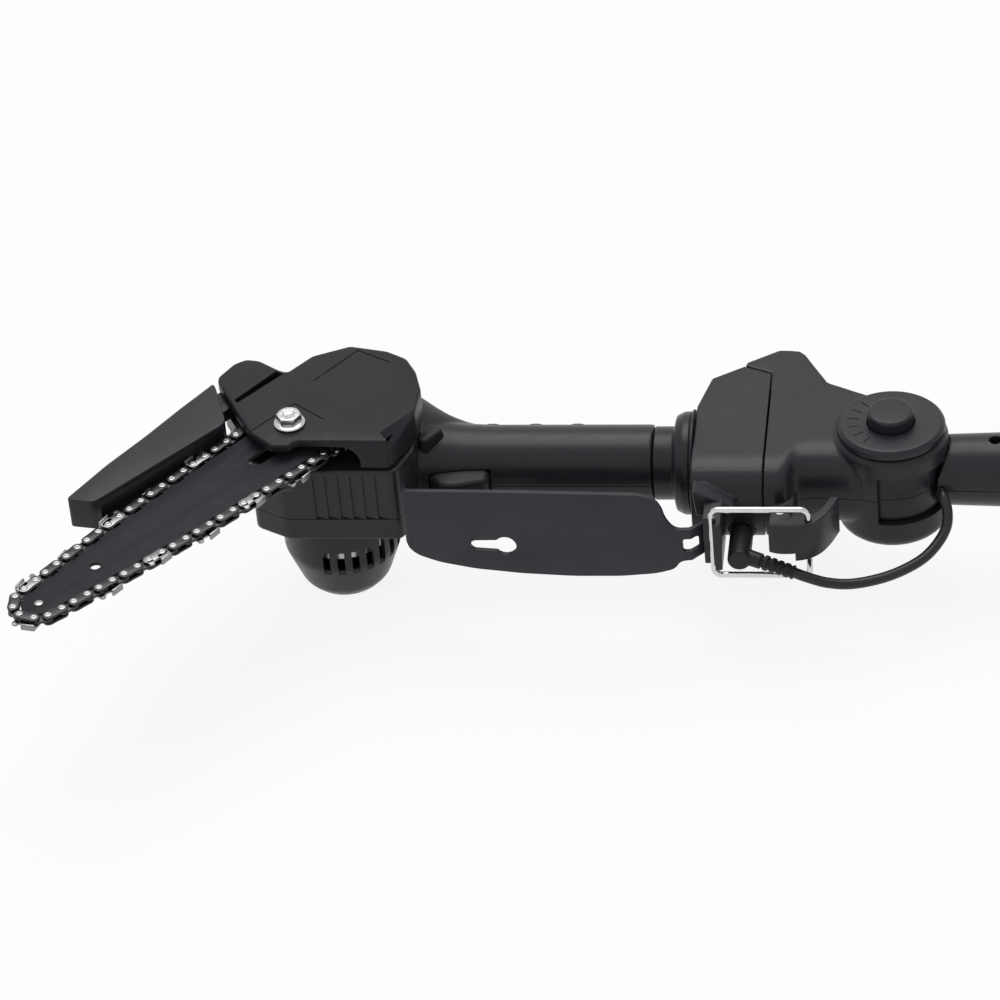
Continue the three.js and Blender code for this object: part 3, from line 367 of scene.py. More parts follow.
# -------------------- materials
class Paint:
    """A node material built step by step, in object coordinates."""

    def __init__(self, name):
        self.material = bpy.data.materials.new(name)
        self.material.use_nodes = True
        self.nodes = self.material.node_tree.nodes
        self.links = self.material.node_tree.links
        self.shader = self.nodes["Principled BSDF"]
        self.place = self.nodes.new("ShaderNodeTexCoord").outputs["Object"]

    def node(self, kind, inputs, **settings):
        node = self.nodes.new("ShaderNode" + kind)
        for key, value in settings.items():
            setattr(node, key, value)
        for key, value in inputs.items():
            if hasattr(value, "links"):
                self.links.new(value, node.inputs[key])
            else:
                node.inputs[key].default_value = value
        return node

    def noise(self, size, detail, rough=0.55, place=None):
        """Noise with features of about size millimetres."""
        place = place or self.place
        inputs = {"Vector": place, "Scale": 1 / (size * MM), "Detail": detail, "Roughness": rough}
        return self.node("TexNoise", inputs).outputs["Fac"]

    def spread(self, value, low, high, start=0.3, end=0.7):
        """A number from low to high, as value goes from start to end."""
        inputs = {"Value": value, "From Min": start, "From Max": end, "To Min": low, "To Max": high}
        return self.node("MapRange", inputs).outputs["Result"]

    def mixed(self, share, a, b):
        """The colour a, with a share of the colour b in it."""
        return self.node("Mix", {"Factor": share, "A": a, "B": b}, data_type="RGBA").outputs["Result"]

    def tones(self, value, dark, light):
        """A colour between dark and light, as value goes from 0.3 to 0.7."""
        return self.mixed(self.spread(value, 0, 1), (*dark, 1), (*light, 1))

    def bump(self, height, depth, strength, under=None):
        inputs = {"Height": height, "Distance": depth * MM, "Strength": strength}
        if under:
            inputs["Normal"] = under
        return self.node("Bump", inputs).outputs["Normal"]

    def wire(self, **sockets):
        for key, value in sockets.items():
            socket = self.shader.inputs[key.replace("_", " ")]
            if hasattr(value, "links"):
                self.links.new(value, socket)
            else:
                socket.default_value = value
        return self.material


def shade(colour, k):
    return tuple(c * k for c in colour)


def moulded(name, colour, rough, level, grain=0.45, depth=0.02):
    """Moulded plastic with a spark-eroded skin and slow changes of tone and gloss."""
    p = Paint(name)
    slow = p.noise(26, 2)
    skin = p.noise(grain, 2, 0.6)
    swirl = p.noise(5, 4, 0.6)
    colours = p.tones(slow, shade(colour, 0.9), shade(colour, 1.12))
    gloss = p.spread(swirl, rough - 0.05, rough + 0.06)
    normal = p.bump(skin, depth, 0.7, under=p.bump(swirl, depth, 0.25))
    return p.wire(Base_Color=colours, Roughness=gloss, Normal=normal, Specular_IOR_Level=level)


def metal(name, colour, rough, stretch=(1, 1, 1), grain=0.6, depth=0.006):
    """Bare metal with brush or rolling marks, drawn out along the stretched axis."""
    p = Paint(name)
    drawn_out = p.node("Mapping", {"Vector": p.place, "Scale": stretch}).outputs["Vector"]
    streaks = p.noise(grain, 4, 0.65, drawn_out)
    patches = p.noise(7, 3)
    colours = p.tones(streaks, shade(colour, 0.9), shade(colour, 1.08))
    blotched = p.mixed(p.spread(patches, 0, 0.25), colours, (*shade(colour, 0.7), 1))
    return p.wire(Base_Color=blotched, Roughness=p.spread(streaks, rough - 0.07, rough + 0.1),
                  Normal=p.bump(streaks, depth, 0.5), Metallic=1)


def foam(name, colour):
    """Matt foam rubber with open cells."""
    p = Paint(name)
    cells_per_metre = 900
    cells = p.node("TexVoronoi", {"Vector": p.place, "Scale": cells_per_metre}).outputs["Distance"]
    colours = p.tones(p.noise(3, 4), shade(colour, 0.8), shade(colour, 1.25))
    return p.wire(Base_Color=colours, Roughness=p.spread(cells, 0.75, 0.95, 0, 1),
                  Normal=p.bump(cells, 0.25, 0.6), Specular_IOR_Level=0.25)


SHELL = moulded("shell_plastic", (0.018, 0.0173, 0.0222), 0.34, level=0.26)
COVER_SKIN = moulded("cover_plastic", (0.016, 0.0155, 0.0196), 0.37, level=0.15)
SOFT = moulded("soft_rubber", (0.0168, 0.0163, 0.0195), 0.44, grain=0.5, level=0.22)
LEAD_SKIN = moulded("lead_rubber", (0.014, 0.014, 0.015), 0.34, grain=0.6, depth=0.01, level=0.34)
BAR_PAINT = moulded("bar_paint", (0.0215, 0.0207, 0.0262), 0.55, grain=1.2, depth=0.006, level=0.14)
GUARD_PAINT = moulded("guard_powder_coat", (0.03, 0.0285, 0.0362), 0.46, grain=0.35, depth=0.015, level=0.24)
STEEL = metal("bright_steel", (0.46, 0.46, 0.47), 0.3)
LINK_STEEL = metal("link_steel", (0.055, 0.055, 0.059), 0.36, grain=0.9)
RIVET_STEEL = metal("rivet_steel", (0.36, 0.356, 0.352), 0.3, grain=0.5)
CUTTER_STEEL = metal("cutter_steel", (0.26, 0.26, 0.268), 0.34, grain=0.5)
CHROME = metal("bail_chrome", (0.66, 0.66, 0.67), 0.14, grain=1.4, depth=0.004)
ZINC = metal("bolt_zinc", (0.6, 0.6, 0.595), 0.24, grain=1.2, depth=0.003)
ANODISED = metal("anodised_tube", (0.05, 0.05, 0.054), 0.36, stretch=(0.02, 1, 1), grain=0.5)
BRASS = metal("pinion_brass", (0.6, 0.42, 0.16), 0.32)
FOAM = foam("foam_rubber", (0.014, 0.014, 0.0145))
BY_SLOT = {"shell": SHELL, "black": SOFT, "steel": STEEL, "dark_steel": BAR_PAINT, "bright": ZINC,
           "tube": ANODISED, "brass": BRASS}

done = set()  # the nodes that have had their piece


def piece(obj, name, node, paint=None, angle=35, replace=True, across=None):
    """Names a finished piece, paints it and makes it ride where its node does, or, given across, leaves it
    fixed where it stands.
    """
    obj.name = name
    obj.data.name = name
    for polygon in obj.data.polygons:
        polygon.use_smooth = True
    obj.data.set_sharp_from_angle(angle=rad(angle))
    obj.data.materials.clear()
    obj.data.materials.append(paint or BY_SLOT[SLOT_OF[node]])
    if across:
        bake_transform(obj)
    else:
        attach(obj, BODY_OF[node])
    if replace:
        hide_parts(node)
    done.add(node)
    return obj


# -------------------- camera
def camera_at(aim, azimuth, elevation, roll, distance):
    """A long lens. Azimuth 0 looks along +Y, and roll turns the camera clockwise."""
    facing = Euler((rad(90 - elevation), 0, rad(azimuth))).to_matrix() @ Matrix.Rotation(rad(-roll), 3, "Z")
    data = bpy.data.cameras.new("camera")
    data.lens, data.sensor_width, data.clip_end = 180, 36, 50
    camera = added("camera", data)
    camera.matrix_world = Matrix.Translation(aim + facing.col[2] * distance) @ facing.to_4x4()
    bpy.context.scene.camera = camera


camera_at(Vector((0.0714, -0.0144, 0.0516)), azimuth=9.1, elevation=37, roll=5.5, distance=2.107)
bpy.context.scene.view_settings.view_transform = "Standard"


# -------------------- power lead and plug
def ribbed(t):
    """The radius of the plug's strain relief: five ribs that get lower towards the lead."""
    core, height, ribs = 2.5, 0.85, 5
    wave = 0.5 + 0.5 * math.cos(2 * math.pi * t * ribs)
    return core + height * (1 - 0.35 * t) * (wave > 0.42)


def dc_plug(route):
    """The angled plug in the dock's socket, with a neck and a relief that meet the lead."""
    neck_y, relief_end_x, neck_length = -38.4, 196, 9.5
    start = Vector((SOCKET[0], neck_y, SOCKET[1]))
    way = Vector((19.6, -7, -2.5)).normalized()
    last = [p for p in route if p.x > relief_end_x][-1]
    body = lathe(rounded(rod(4.9, neck_y - 5, neck_y + 15), 1.6), "Y", SOCKET, 40)
    neck = tube([start, start + way * neck_length], lambda t: 3.5 - 0.2 * t, 24)
    first = start + way * (neck_length - 0.5)
    relief = tube([first + (last - first) * (i / 40) for i in range(41)], ribbed, 24)
    return piece(fused(body, neck, relief, voxel=0.22, relax=2), "plug", "dc_plug", SOFT)


def power_lead():
    route = curve_points(LEAD, 8)
    bend = [Vector(LEAD[k]) * MM for k in (1, 10)]
    lead = piece(tube(route, LEAD_R), "lead", "power_lead", LEAD_SKIN, across=("arm", "head", *bend))
    plug = dc_plug(route)


power_lead()


# -------------------- guide bar and chain
ALONG = Vector((math.cos(rad(BAR_ANGLE)), math.sin(rad(BAR_ANGLE))))
NOSE = Vector(DRIVE) - ALONG * BAR_REACH
HEEL_S = 165  # where the chain's flanks meet the sprocket's wrap


def on_bar(s, w):
    """s along the bar from its nose wheel, w across it towards the blade guard."""
    return (NOSE.x + s * ALONG.x - w * ALONG.y, NOSE.y + s * ALONG.y + w * ALONG.x)


def chain_track():
    """The rivets' line round the bar as closely spaced (s, w) points, from the nose along the near side."""
    nose_r, sprocket_r = 10.6, 15.4
    flank = [(0, -nose_r), (24, -13), (50, -15.5), (80, -17.4), (110, -18.7), (140, -19.4), (HEEL_S, -18.6)]
    near = smooth_outline(flank, 12)
    far = [(s, -w) for s, w in reversed(near)]
    return near + arc(BAR_REACH, 0, sprocket_r, -82, 82, 30) + far + arc(0, 0, nose_r, 90, 270, 40)[1:-1]


def resampled(track, count, lead_in):
    """count rivet places, with short and long steps in turn."""
    short_step, mean_step = 5.85, 6.35
    points = [Vector(p) for p in track]
    steps = [(b - a).length for a, b in zip(points, points[1:] + points[:1])]
    total = sum(steps)
    short = total / count * (short_step / mean_step)
    pitch = 2 * total / count
    out = []
    for k in range(count):
        u = ((k // 2) * pitch + (k % 2) * short + lead_in) % total
        i = 0
        while u > steps[i]:
            u -= steps[i]
            i += 1
        out.append(points[i].lerp(points[(i + 1) % len(points)], u / steps[i]))
    return out


def link_outline(a, b, outer, reach=2.35, waist=0.3):
    """A waisted plate round rivets a and b. outer is the unit vector away from the bar."""
    way = (b - a).normalized()
    turn = math.degrees(math.atan2(way.y, way.x))
    sign = 1 if way.x * outer.y - way.y * outer.x > 0 else -1
    length = (b - a).length
    local = [*arc(0, 0, reach, 90, 270, 8), (length / 2, -reach + waist),
             *arc(length, 0, reach, -90, 90, 8), (length / 2, reach - waist * 0.4)]
    return turned([(x, y * sign) for x, y in local], turn, a)


def add_plate(bm, outline, z0, z1):
    """A flat plate whose outline is in (s, w) places on the bar."""
    add_prism(bm, [on_bar(*p) for p in outline], z0, z1)


def away_from_bar(p):
    if p.x < 0:
        return p.normalized()
    if p.x > HEEL_S:
        return (p - Vector((BAR_REACH, 0))).normalized()
    return Vector((0, 1 if p.y > 0 else -1))


def add_cutter(bm, p, q, out, side, z):
    """A cutter link from rivet p to q: its plate, raker and heel, and the top that leans over the chain."""
    gap, way = (q - p).length, (q - p).normalized()
    raker = [(-1.9, 0.8), (-2.1, 3.4), (-1.2, 4.1), (0.1, 3.8), (0.8, 2.2), (1.2, 0.8)]
    heel = [(gap - 3.4, 0.6), (gap - 3.2, 3.2), (gap - 3.9, 4.6), (gap + 1.9, 3.7), (gap + 2.4, 0.4)]
    top = [(gap - 3.9, 3.8), (gap - 3.9, 4.7), (gap + 1.9, 3.8), (gap + 1.9, 3.0)]
    add_plate(bm, link_outline(p, q, out), *z)
    lip = sorted((BAR_Z + side * 2.3, BAR_Z - side * 0.6))
    for shape, heights in ((raker, z), (heel, z), (top, lip)):
        add_plate(bm, [p + way * x + out * y for x, y in shape], *heights)


def saw_chain():
    """Drive links in the middle, tie links outside them, and a cutter in every eighth place on each side."""
    pitch, lead_in, drive_half = 12.7, 3.1, 0.6
    track = chain_track()
    length = sum((Vector(b) - Vector(a)).length for a, b in zip(track, track[1:] + track[:1]))
    count = 2 * round(length / pitch)
    rivets = resampled(track, count, lead_in)
    links, pins, cutters = bmesh.new(), bmesh.new(), bmesh.new()
    cutter_place = {1: 7, -1: 3}
    head = [(0, 1.7), (1.6, 1.7), (1.6, 2.08), (1.3, 2.28), (0.6, 2.3), (0, 2.1)]
    for k, p in enumerate(rivets):
        q = rivets[(k + 1) % count]
        out = away_from_bar((p + q) / 2)
        for side in (1, -1):
            z = sorted((BAR_Z + side * 0.95, BAR_Z + side * 1.95))
            if k % 8 == cutter_place[side]:
                add_cutter(cutters, p, q, out, side, z)
            elif k % 2:
                add_plate(links, link_outline(p, q, out), *z)
            add_lathe(pins, [(r, BAR_Z + side * h) for r, h in head], "Z", on_bar(*p), 18)
        if k % 2 == 0:
            add_plate(links, link_outline(p, q, out, 2.2, 0.2), *about(drive_half, BAR_Z))
    piece(bevelled(put(links), 0.14, 2), "chain_links", "saw_chain", LINK_STEEL)
    piece(put(pins), "chain_rivets", "saw_chain", RIVET_STEEL)
    piece(bevelled(put(cutters), 0.12, 2), "chain_cutters", "saw_chain", CUTTER_STEEL)


def guide_bar():
    """The CAD's bar, thinned so that the chain stands clear of it, with the rivet of its nose wheel."""
    kept = 0.6  # of its thickness
    bar = from_cad("guide_bar", 0)
    for v in bar.data.vertices:
        v.co.z = (BAR_Z + (v.co.z / MM - BAR_Z) * kept) * MM
    piece(bevelled(bar, 0.2, 2), "bar", "guide_bar", BAR_PAINT)
    z = BAR_Z + 0.8
    rivet = lathe([(0, z - 0.4), (1.8, z - 0.4), (1.8, z + 0.05), (1.5, z + 0.2), (0, z + 0.25)], "Z",
                  on_bar(0, 0), 24)
    piece(rivet, "nose_rivet", "guide_bar", RIVET_STEEL, replace=False)


saw_chain()
guide_bar()


# -------------------- housing
def split(body, upper, lower):
    """Parts a body at the seam plane into two shells, each given as (name, node)."""
    piece(half_of(body, AXIS_Z, True), *upper)
    piece(half_of(body, AXIS_Z - SEAM, False), *lower)
    bpy.data.objects.remove(body)


def louvres():
    """Six shallow grooves down the front of the case, each shelving towards one side."""
    first_x, pitch = -5, 5.3
    groove = [(-0.5, -0.8), (4.4, -0.8), (4.4, 0.02), (0.2, 0.75), (-0.2, 0.75)]
    grooves = [[(first_x + pitch * i + x, FRONT_Y + y) for x, y in groove] for i in range(6)]
    return prisms(grooves, AXIS_Z + 0.1, DECK_Z - 2.4)


def saw_housing():
    """Motor case, deck and handle as one skin, hollowed, opened for what comes through, and split."""
    case_low, cap_r, handle_end, trigger_half = 40, 22.8, 134.9, 7.7
    case = prism(rounded(CASE, 3), case_low, DECK_Z)
    deck = prism(rounded(inset(COVER, 1.2), 2), DECK_Z - 9, DECK_Z)
    handle = on_handle([(0, 24), *HANDLE_SECTION, (0, handle_end)])
    flare = lathe([(0, 27), (27.6, 27), (26.6, 34), (22.1, 41), (18.2, 48), (15.4, 54.5), (14, 60), (0, 60)],
                  "X", (HANDLE_Y + 6.6, AXIS_Z - 1.9), 96)
    flare_plan = [(20, -18), (62, -18), (62, 26), (46, 26.5), (36, 30.5), (26, 34.5), (20, 35)]
    overlap(flare, prism(flare_plan, case_low + 0.2, DECK_Z - 0.4))
    body = fused(case, deck, handle, flare, voxel=0.6, relax=8)
    hollow = prism(inset(CASE, SKIN_WALL), case_low + WALL, DECK_Z - WALL)
    drum = pin(cap_r, case_low - 10, case_low + 3, (0, 0), 48)
    bore = on_handle([(0, 20), *[(r - WALL - 0.5, x) for r, x in HANDLE_SECTION], (0, handle_end + 2.1)], 48)
    well = pin(8, DECK_Z - 7, 100, DRIVE, 40)
    finger = box(40.4, 66.6, -30, HANDLE_Y, *about(trigger_half))
    lock = lock_shape(0.4, 58, 90)
    inlay = inlay_part(sleeve(14.5, 19, INLAY[0] - 0.3, INLAY[1] + 0.3), 0.3)
    cut(body, hollow, drum, bore, well, finger, lock, pin(2.7, 60, 120, GUARD_PIN), louvres(), inlay)
    split(body, ("housing_top", "housing_upper"), ("housing_bottom", "housing_lower"))


def lock_shape(extra, z0, z1):
    """The lock paddle, a turned slot shape, made larger by extra where it is a hole."""
    half, r = 3.9, 2.6 + extra
    outline = arc(half, 0, r, -90, 90, 12) + arc(-half, 0, r, 90, 270, 12)
    return prism(turned(outline, LOCK_TURN, LOCK), z0, z1)


def inlay_part(profile, extra):
    """The part of a ring round the handle that lies on its far side, where the grip inlay is."""
    return overlap(on_handle(profile), box(50, 120, HANDLE_Y + 4, 60, *about(INLAY_HALF + extra)))


def grip_inlay():
    """Soft skin on the far side of the handle, with three low ridges."""
    inner, skin_r, ridge, ridge_half, steps = 14.9, 16.3, 1.1, 3.2, 60
    a, b = INLAY[0] + 0.4, INLAY[1] - 0.4
    skin = []
    for i in range(steps + 1):
        x = a + (b - a) * i / steps
        bump = sum(ridge * math.exp(-((x - c) / ridge_half) ** 4) for c in (65, 83.5, 101.5))
        skin.append((skin_r + bump, x))
    piece(inlay_part([(inner, a), *skin, (inner, b)], -0.2), "handle_inlay", "grip_inlay")


def motor_cap():
    """The bowl under the case, with nine air slots on its near side, each sunk in a scoop."""
    r, slots_from, slot_step, short_slots = 25.3, -98.7, 14.5, 4
    low, half = 20.6, 1.6
    skin = [(0, 0), (14.4, 0), (19.2, 5.2), (r, 22), (r, 39.7), (22.8, 39.7), (22.8, 22.6), (16.8, 6.6),
            (12.4, 3), (0, 3)]
    cap = lathe(rounded(skin, 2.4, 6), "Z", (0, 0), 128)
    slots, scoops = bmesh.new(), bmesh.new()
    for i in range(9):
        turn = Matrix.Rotation(rad(slots_from + i * slot_step), 4, "Z")
        high = 31 if i < short_slots else 34
        ends = rounded([(-half, low), (half, low), (half, high), (-half, high)], 0.7)
        corners = add_prism(slots, ends, 11, 32, "X")
        bmesh.ops.transform(slots, matrix=turn, verts=corners)
        scoop = [(26.5, low - 9), (26.5, high), (23.6, high), (23.6, low - 0.5)]
        corners = add_prism(scoops, scoop, -half, half, "Y")
        bmesh.ops.transform(scoops, matrix=turn, verts=corners)
    cut(cap, put(slots), put(scoops))
    piece(cap, "motor_cover", "motor_cap", angle=30)


def sprocket_cover():
    """A shallow lid over the sprocket, open where the bar and the chain leave it."""
    low, high = DECK_Z + 0.3, COVER_TOP_Z
    bolt_r, boss_r = 3.4, 7
    mouth_r, mouth_x = 8.4, 16
    cover = bevelled(prism(rounded(COVER, 1.6, 4), low, high), 1.1, 3, 50)
    cavity = prism(inset(COVER, WALL), low - 1, high - 2.3)
    mouth_outline = [(-60, 60), (mouth_x, 60), (mouth_x, 80),
                     *arc(mouth_x - mouth_r - 0.1, high - 11.5, mouth_r, 0, 90, 10), (-60, high - 3.1)]
    mouth = prism(mouth_outline, -40, -14, "Y")
    side = prism([(-60, -30), (-24, -30), (-30, -10), (-36, 8), (-43, 29), (-60, 29)], 79.4, high - 4.6)
    slot = prism([(-40.6, 3.6), (-39, 1.4), (-22.2, 22.2), (-25.5, 24.4)], high - 6, 120)
    place = on_bar(COVER_BOLT_S, 0)
    routes = [(-8.5, 17.1), (7.9, 39.2), (22.9, 30.4)], [(-31.6, -20), (-14.3, 0.9), (-0.3, -10.4)]
    lines = prisms([stroke(route, 0.55) for route in routes], high - 0.6, high + 2)
    facet = bmesh.new()
    bottom = [(37.6, -2.6, high), (41, -9, high - 8), (30.6, -29, high - 9), (24.3, -19.7, high)]
    loft(facet, [[facet.verts.new(Vector(p) * MM) for p in bottom],
                 [facet.verts.new(Vector((x, y, high + 4)) * MM) for x, y, _ in bottom]])
    cut(cover, cavity, mouth, side, slot, pin(bolt_r, 0, 120, place, 32), lines, put(facet))
    boss = lathe(sleeve(bolt_r, boss_r, BAR_Z + 1.8, high - 1.5), "Z", place, 32)
    piece(joined(cover, boss), "chain_cover", "sprocket_cover", COVER_SKIN)


def cover_bolt():
    """A six-sided head with a dished top on a round flange."""
    place = on_bar(COVER_BOLT_S, 0)
    flange = COVER_TOP_Z + 0.3
    top = flange + 5
    head = prism(arc(*place, 5.4, 0, 300, 5), flange + 0.8, top)
    cone = lathe([(0, flange - 1), (8.6, flange - 1), (7.2, top - 1.8), (4.6, top), (0, top)], "Z", place, 64)
    overlap(head, cone)
    dish = lathe([(0, top - 0.5), (2.2, top - 0.4), (3.2, top + 0.8), (0, top + 0.8)], "Z", place, 48)
    bevelled(cut(head, dish), 0.25, 2, 25)
    rim = [(0, flange), (6.7, flange), (6.7, flange + 0.9), (5, flange + 1.6), (0, flange + 1.6)]
    disc = lathe(rounded(rim, 0.4), "Z", place, 64)
    shank = pin(3, 74.4, flange + 0.1, place, 32)
    piece(joined(head, disc, shank), "flange_bolt", "cover_bolt", ZINC, 25)


def blade_guard():
    """The hinged guard over the far run of the chain: a long shell that is open below, and a lug on a pin."""
    outline = [(-51.2, 15.2), (-49.6, 11.8), (-42.4, -10.5), (-42.9, -14), (-88, -66.6), (-90, -67.6),
               (-101.2, -65.8), (-88, -42.5), (-74.6, -22.2), (-62.7, -2.6)]
    room = [(-97.5, -62.5), (-92.5, -59.6), (-52.5, -13), (-50, -6), (-54, 8), (-60.6, -2), (-72.2, -20.8),
            (-85.3, -41.4)]
    recess = [(-42.1, -14.7), (-47.1, -10.4), (-91.2, -61.9), (-86.3, -66.1)]
    ear = [(-54, 11.5), (-48.5, -1.5), (-36, 15.2), (-34, 25), (-40, 26.5)]
    low, high, roof, flange = 77, 91.3, 2.6, 1.6
    lug_low, lug_high = 80, 85.5
    guard = bevelled(prism(rounded(outline, 2.4), low, high), 1.9, 5, 40)
    cut(guard, prism(room, low - 1, high - roof), prism(recess, low + flange, high - roof))
    lug = bevelled(prism(rounded(ear, 1.5), lug_low, lug_high), 0.5)
    eye = lathe(sleeve(2.8, 6, lug_low, lug_high), "Z", GUARD_PIN, 40)
    cut(lug, pin(4, lug_low - 10, lug_high + 9.5, GUARD_PIN, 32))
    piece(joined(guard, lug, eye), "bar_guard", "blade_guard", SHELL)


def hand_guard():
    """Bent sheet in front of the handle, with a keyhole and a slotted tail, and the screw at its root."""
    face = rounded([(32.8, 51.5), (33.4, 44.5), (37.5, 39.6), (47, 35.9), (62, 33), (82, 31.2), (104, 30.6),
                    (124, 31.4), (139, 33.4), (146.6, 36), (149.2, 40.3), (170, 41.5), (170, 56), (147, 56.5),
                    (143.6, 62), (142.4, 67.4), (139.4, 72), (133, 74), (84, 73.6), (32.8, 72.6)], 3.2, 5)
    front = [(32.4, -27.6), (33.4, -35.2), (34.6, -36.2), (150, -41.5), (154, -41.2), (158.9, -36.4)]
    back = [(158.9, -34), (153.4, -39.2), (150, -39.5), (35.8, -34.2), (34.4, -33), (33.8, -27.6)]
    sheet = overlap(prism(front + back, 20, 80), prism(face, -60, -20, "Y"))
    keyhole = prism([*arc(75.6, 45.4, 4.7, -140, 140, 24), *arc(63.4, 45.4, 2.6, 90, 270, 8)], -60, -30, "Y")
    slot = prism(rounded([(150.5, 45), (157, 45), (157, 51.6), (150.5, 51.6)], 1.4), -60, -30, "Y")
    cut(sheet, keyhole, slot)
    piece(bevelled(sheet, 0.4, 3, 40), "finger_guard", "hand_guard", GUARD_PAINT)
    head = rounded([(0, -24), (2.2, -24), (2.2, -22), (1.2, -22), (1, -22.8), (0, -22.8)], 0.15)
    piece(lathe(head, "Y", GUARD_SCREW, 32), "guard_screw_head", "guard_screw", BAR_PAINT)


def neck_collar():
    profile = rounded([(12, 135.2), (15.6, 135.2), (15.6, 143.6), (20.2, 144.6), (21.9, 148), (21.9, 150.6),
                       (21.4, 151), (22.8, 151.4), (22.8, 152.4), (12, 152.4)], 0.9, 5)
    piece(on_handle(profile), "neck_collar", "neck_ring")


def motor_can():
    can = rounded(rod(21.2, 24.4, 40), 1.2)
    piece(lathe(can, "Z", (0, 0), 96), "motor_sleeve", "motor_can", STEEL, 30)


saw_housing()
grip_inlay()
motor_cap()
sprocket_cover()
cover_bolt()
piece(bevelled(lock_shape(0, 62, 72.6), 1.1, 4, 50), "lock_paddle", "lock_button", SOFT)
blade_guard()
hand_guard()
piece(from_cad("trigger", 2.6, 5), "finger_trigger", "trigger", SOFT)
neck_collar()
motor_can()


# -------------------- dock, adapter and latch
HULL_FAR, HULL_HALF, HULL_CORNER = 72, 18.6, 17


def hull_section(near, half):
    """(y, z) points from the far edge round the near side, whose two corners are round."""
    low, high = about(half)
    profile = [(HULL_FAR, low), (near, low), (near, high), (HULL_FAR, high)]
    return rounded(profile, HULL_CORNER, 12, sharp=(0, 3))


def hull(d, x0, x1):
    """The straight skin that dock and adapter share, moved inwards by d."""
    return prism(hull_section(NEAR_Y + d, HULL_HALF - d), x0, x1, "X")


def waisted_hull():
    """The adapter's skin from the dock to the dial, whose near side follows the plan."""
    bm = bmesh.new()
    rings = []
    for x, near in smooth_outline([(150, NEAR_Y), *ADAPTER_NEAR, (250, -6)], 4):
        rings.append(add_ring(bm, hull_section(near, HULL_HALF), x, "X"))
    loft(bm, rings)
    return put(bm)


def dock_shell():
    """The battery dock's front part, with a rail along its near edge and the socket for the lead."""
    dock = overlap(prism(DOCK_PLAN, 10, 90), hull(0, 150, 200))
    rail = prism([(154, 67.2), (155.4, 54), (171.4, 55.6), (171.9, 59)], -29, -20, "Y")
    dock = fused(dock, bevelled(rail, 0.6), voxel=0.5, relax=6)
    room = overlap(prism(inset(DOCK_PLAN, SKIN_WALL), 10, 90), hull(SKIN_WALL, 150, 182))
    socket = lathe(rod(5.9, -40, -5), "Y", SOCKET, 40)
    cut(dock, room, socket, box(MEET_X - 0.45, 190, -60, 90, 0, 100))
    piece(dock, "dock_shell", "battery_dock")


def adapter():
    """The adapter's two shells: a waisted body, the cup round the pivot and the draw lever's knuckle."""
    gap, sweep_r = 11.7, 60
    body = overlap(prism(ADAPTER_PLAN, 10, 90), waisted_hull())
    cup = [(0, 25.3), (20, 25.3), (24, 29.3), (24, 69.2), (22.4, 71.2), (0, 71.2)]
    cup = lathe(rounded(cup, 3), "Z", PIVOT, 96)
    knuckle = prism([(186, -10), (197, -10), (194.5, -35), (191, -39.5), (187.5, -36)], *about(4.2))
    body = fused(body, cup, knuckle, voxel=0.55, relax=12)
    barrel = pin(22, *about(gap), PIVOT, 96)
    sweep = prism([PIVOT, *arc(*PIVOT, sweep_r, -103, 42, 24)], *about(gap))
    walls = [p for p in ADAPTER_PLAN if p[0] >= MEET_X]
    room = prism(inset(walls, SKIN_WALL), 10, 90)
    overlap(room, box(170, 208, -2, 80, 0, 100), hull(SKIN_WALL, 150, 250))
    bolt = pin(4.4, 0, 90, PIVOT, 32)
    head = pin(7.4, 0, 29.4, PIVOT, 32)
    button = pin(9.9, 65.4, 90, PIVOT, 64)
    rim = cut(box(MEET_X - 0.05, MEET_X + 0.45, -60, 90, 0, 100), box(180, 186, 40, 80, 0, 100))
    cut(body, barrel, sweep, room, bolt, head, button, pin(2, 0, 100, LATCH_PIN), rim)
    split(body, ("adapter_top", "adapter_upper"), ("adapter_bottom", "adapter_lower"))


def latch_bail():
    """A wire frame round the catch, open at its pivot end, where it enters the draw lever."""
    x0, low, high, r, corner = 163, 33.6, 67.6, 1.3, 3.2
    x1, y = BAIL_PIVOT
    left, right, bottom, top = x0 + corner, x1 - corner, low + corner, high - corner
    turns = (arc(right, bottom, corner, 0, -90, 8) + arc(left, bottom, corner, 270, 180, 8)
             + arc(left, top, corner, 180, 90, 8) + arc(right, top, corner, 90, 0, 8))
    route = [(x1, AXIS_Z - 3), *turns, (x1, AXIS_Z + 4)]
    piece(tube([Vector((x, y, z)) for x, z in route], r, 20), "wire_bail", "latch_bail", CHROME)


def draw_lever():
    """The curved lever that pulls the bail tight, hollow where the knuckle and the wire's ends go."""
    outer = [(186.6, -45.4), (191, -46.7), (197, -46.6), (203, -45), (208, -41), (211.8, -34.5), (215, -26)]
    inner = [(211.4, -25.4), (208.4, -32.6), (205, -37), (201, -39.6), (196, -40)]
    nose = [(194.2, -33), (188, -33), (186.8, -39)]
    outline = smooth_outline(outer, 8) + smooth_outline(inner, 8) + nose
    lever = bevelled(prism(outline, AXIS_Z - 6.8, AXIS_Z + 11.2), 1.1, 4, 40)
    relief = box(180, 197.5, -60, -20, 0, AXIS_Z - 2.7)
    room = box(180, 195.8, -41.5, -20, *about(4.6))
    wire_r = 1.6
    ends = [pin(wire_r, AXIS_Z + 3, 100, BAIL_PIVOT, 20), pin(wire_r, 0, AXIS_Z - 2, BAIL_PIVOT, 20)]
    piece(cut(lever, relief, room, pin(2, 0, 100, LATCH_PIN), *ends), "draw_lever", "latch_lever", SHELL)


dock_shell()
adapter()
latch_bail()
piece(from_cad("latch_catch", 1.1, 4), "catch_block", "latch_catch", SHELL)
draw_lever()


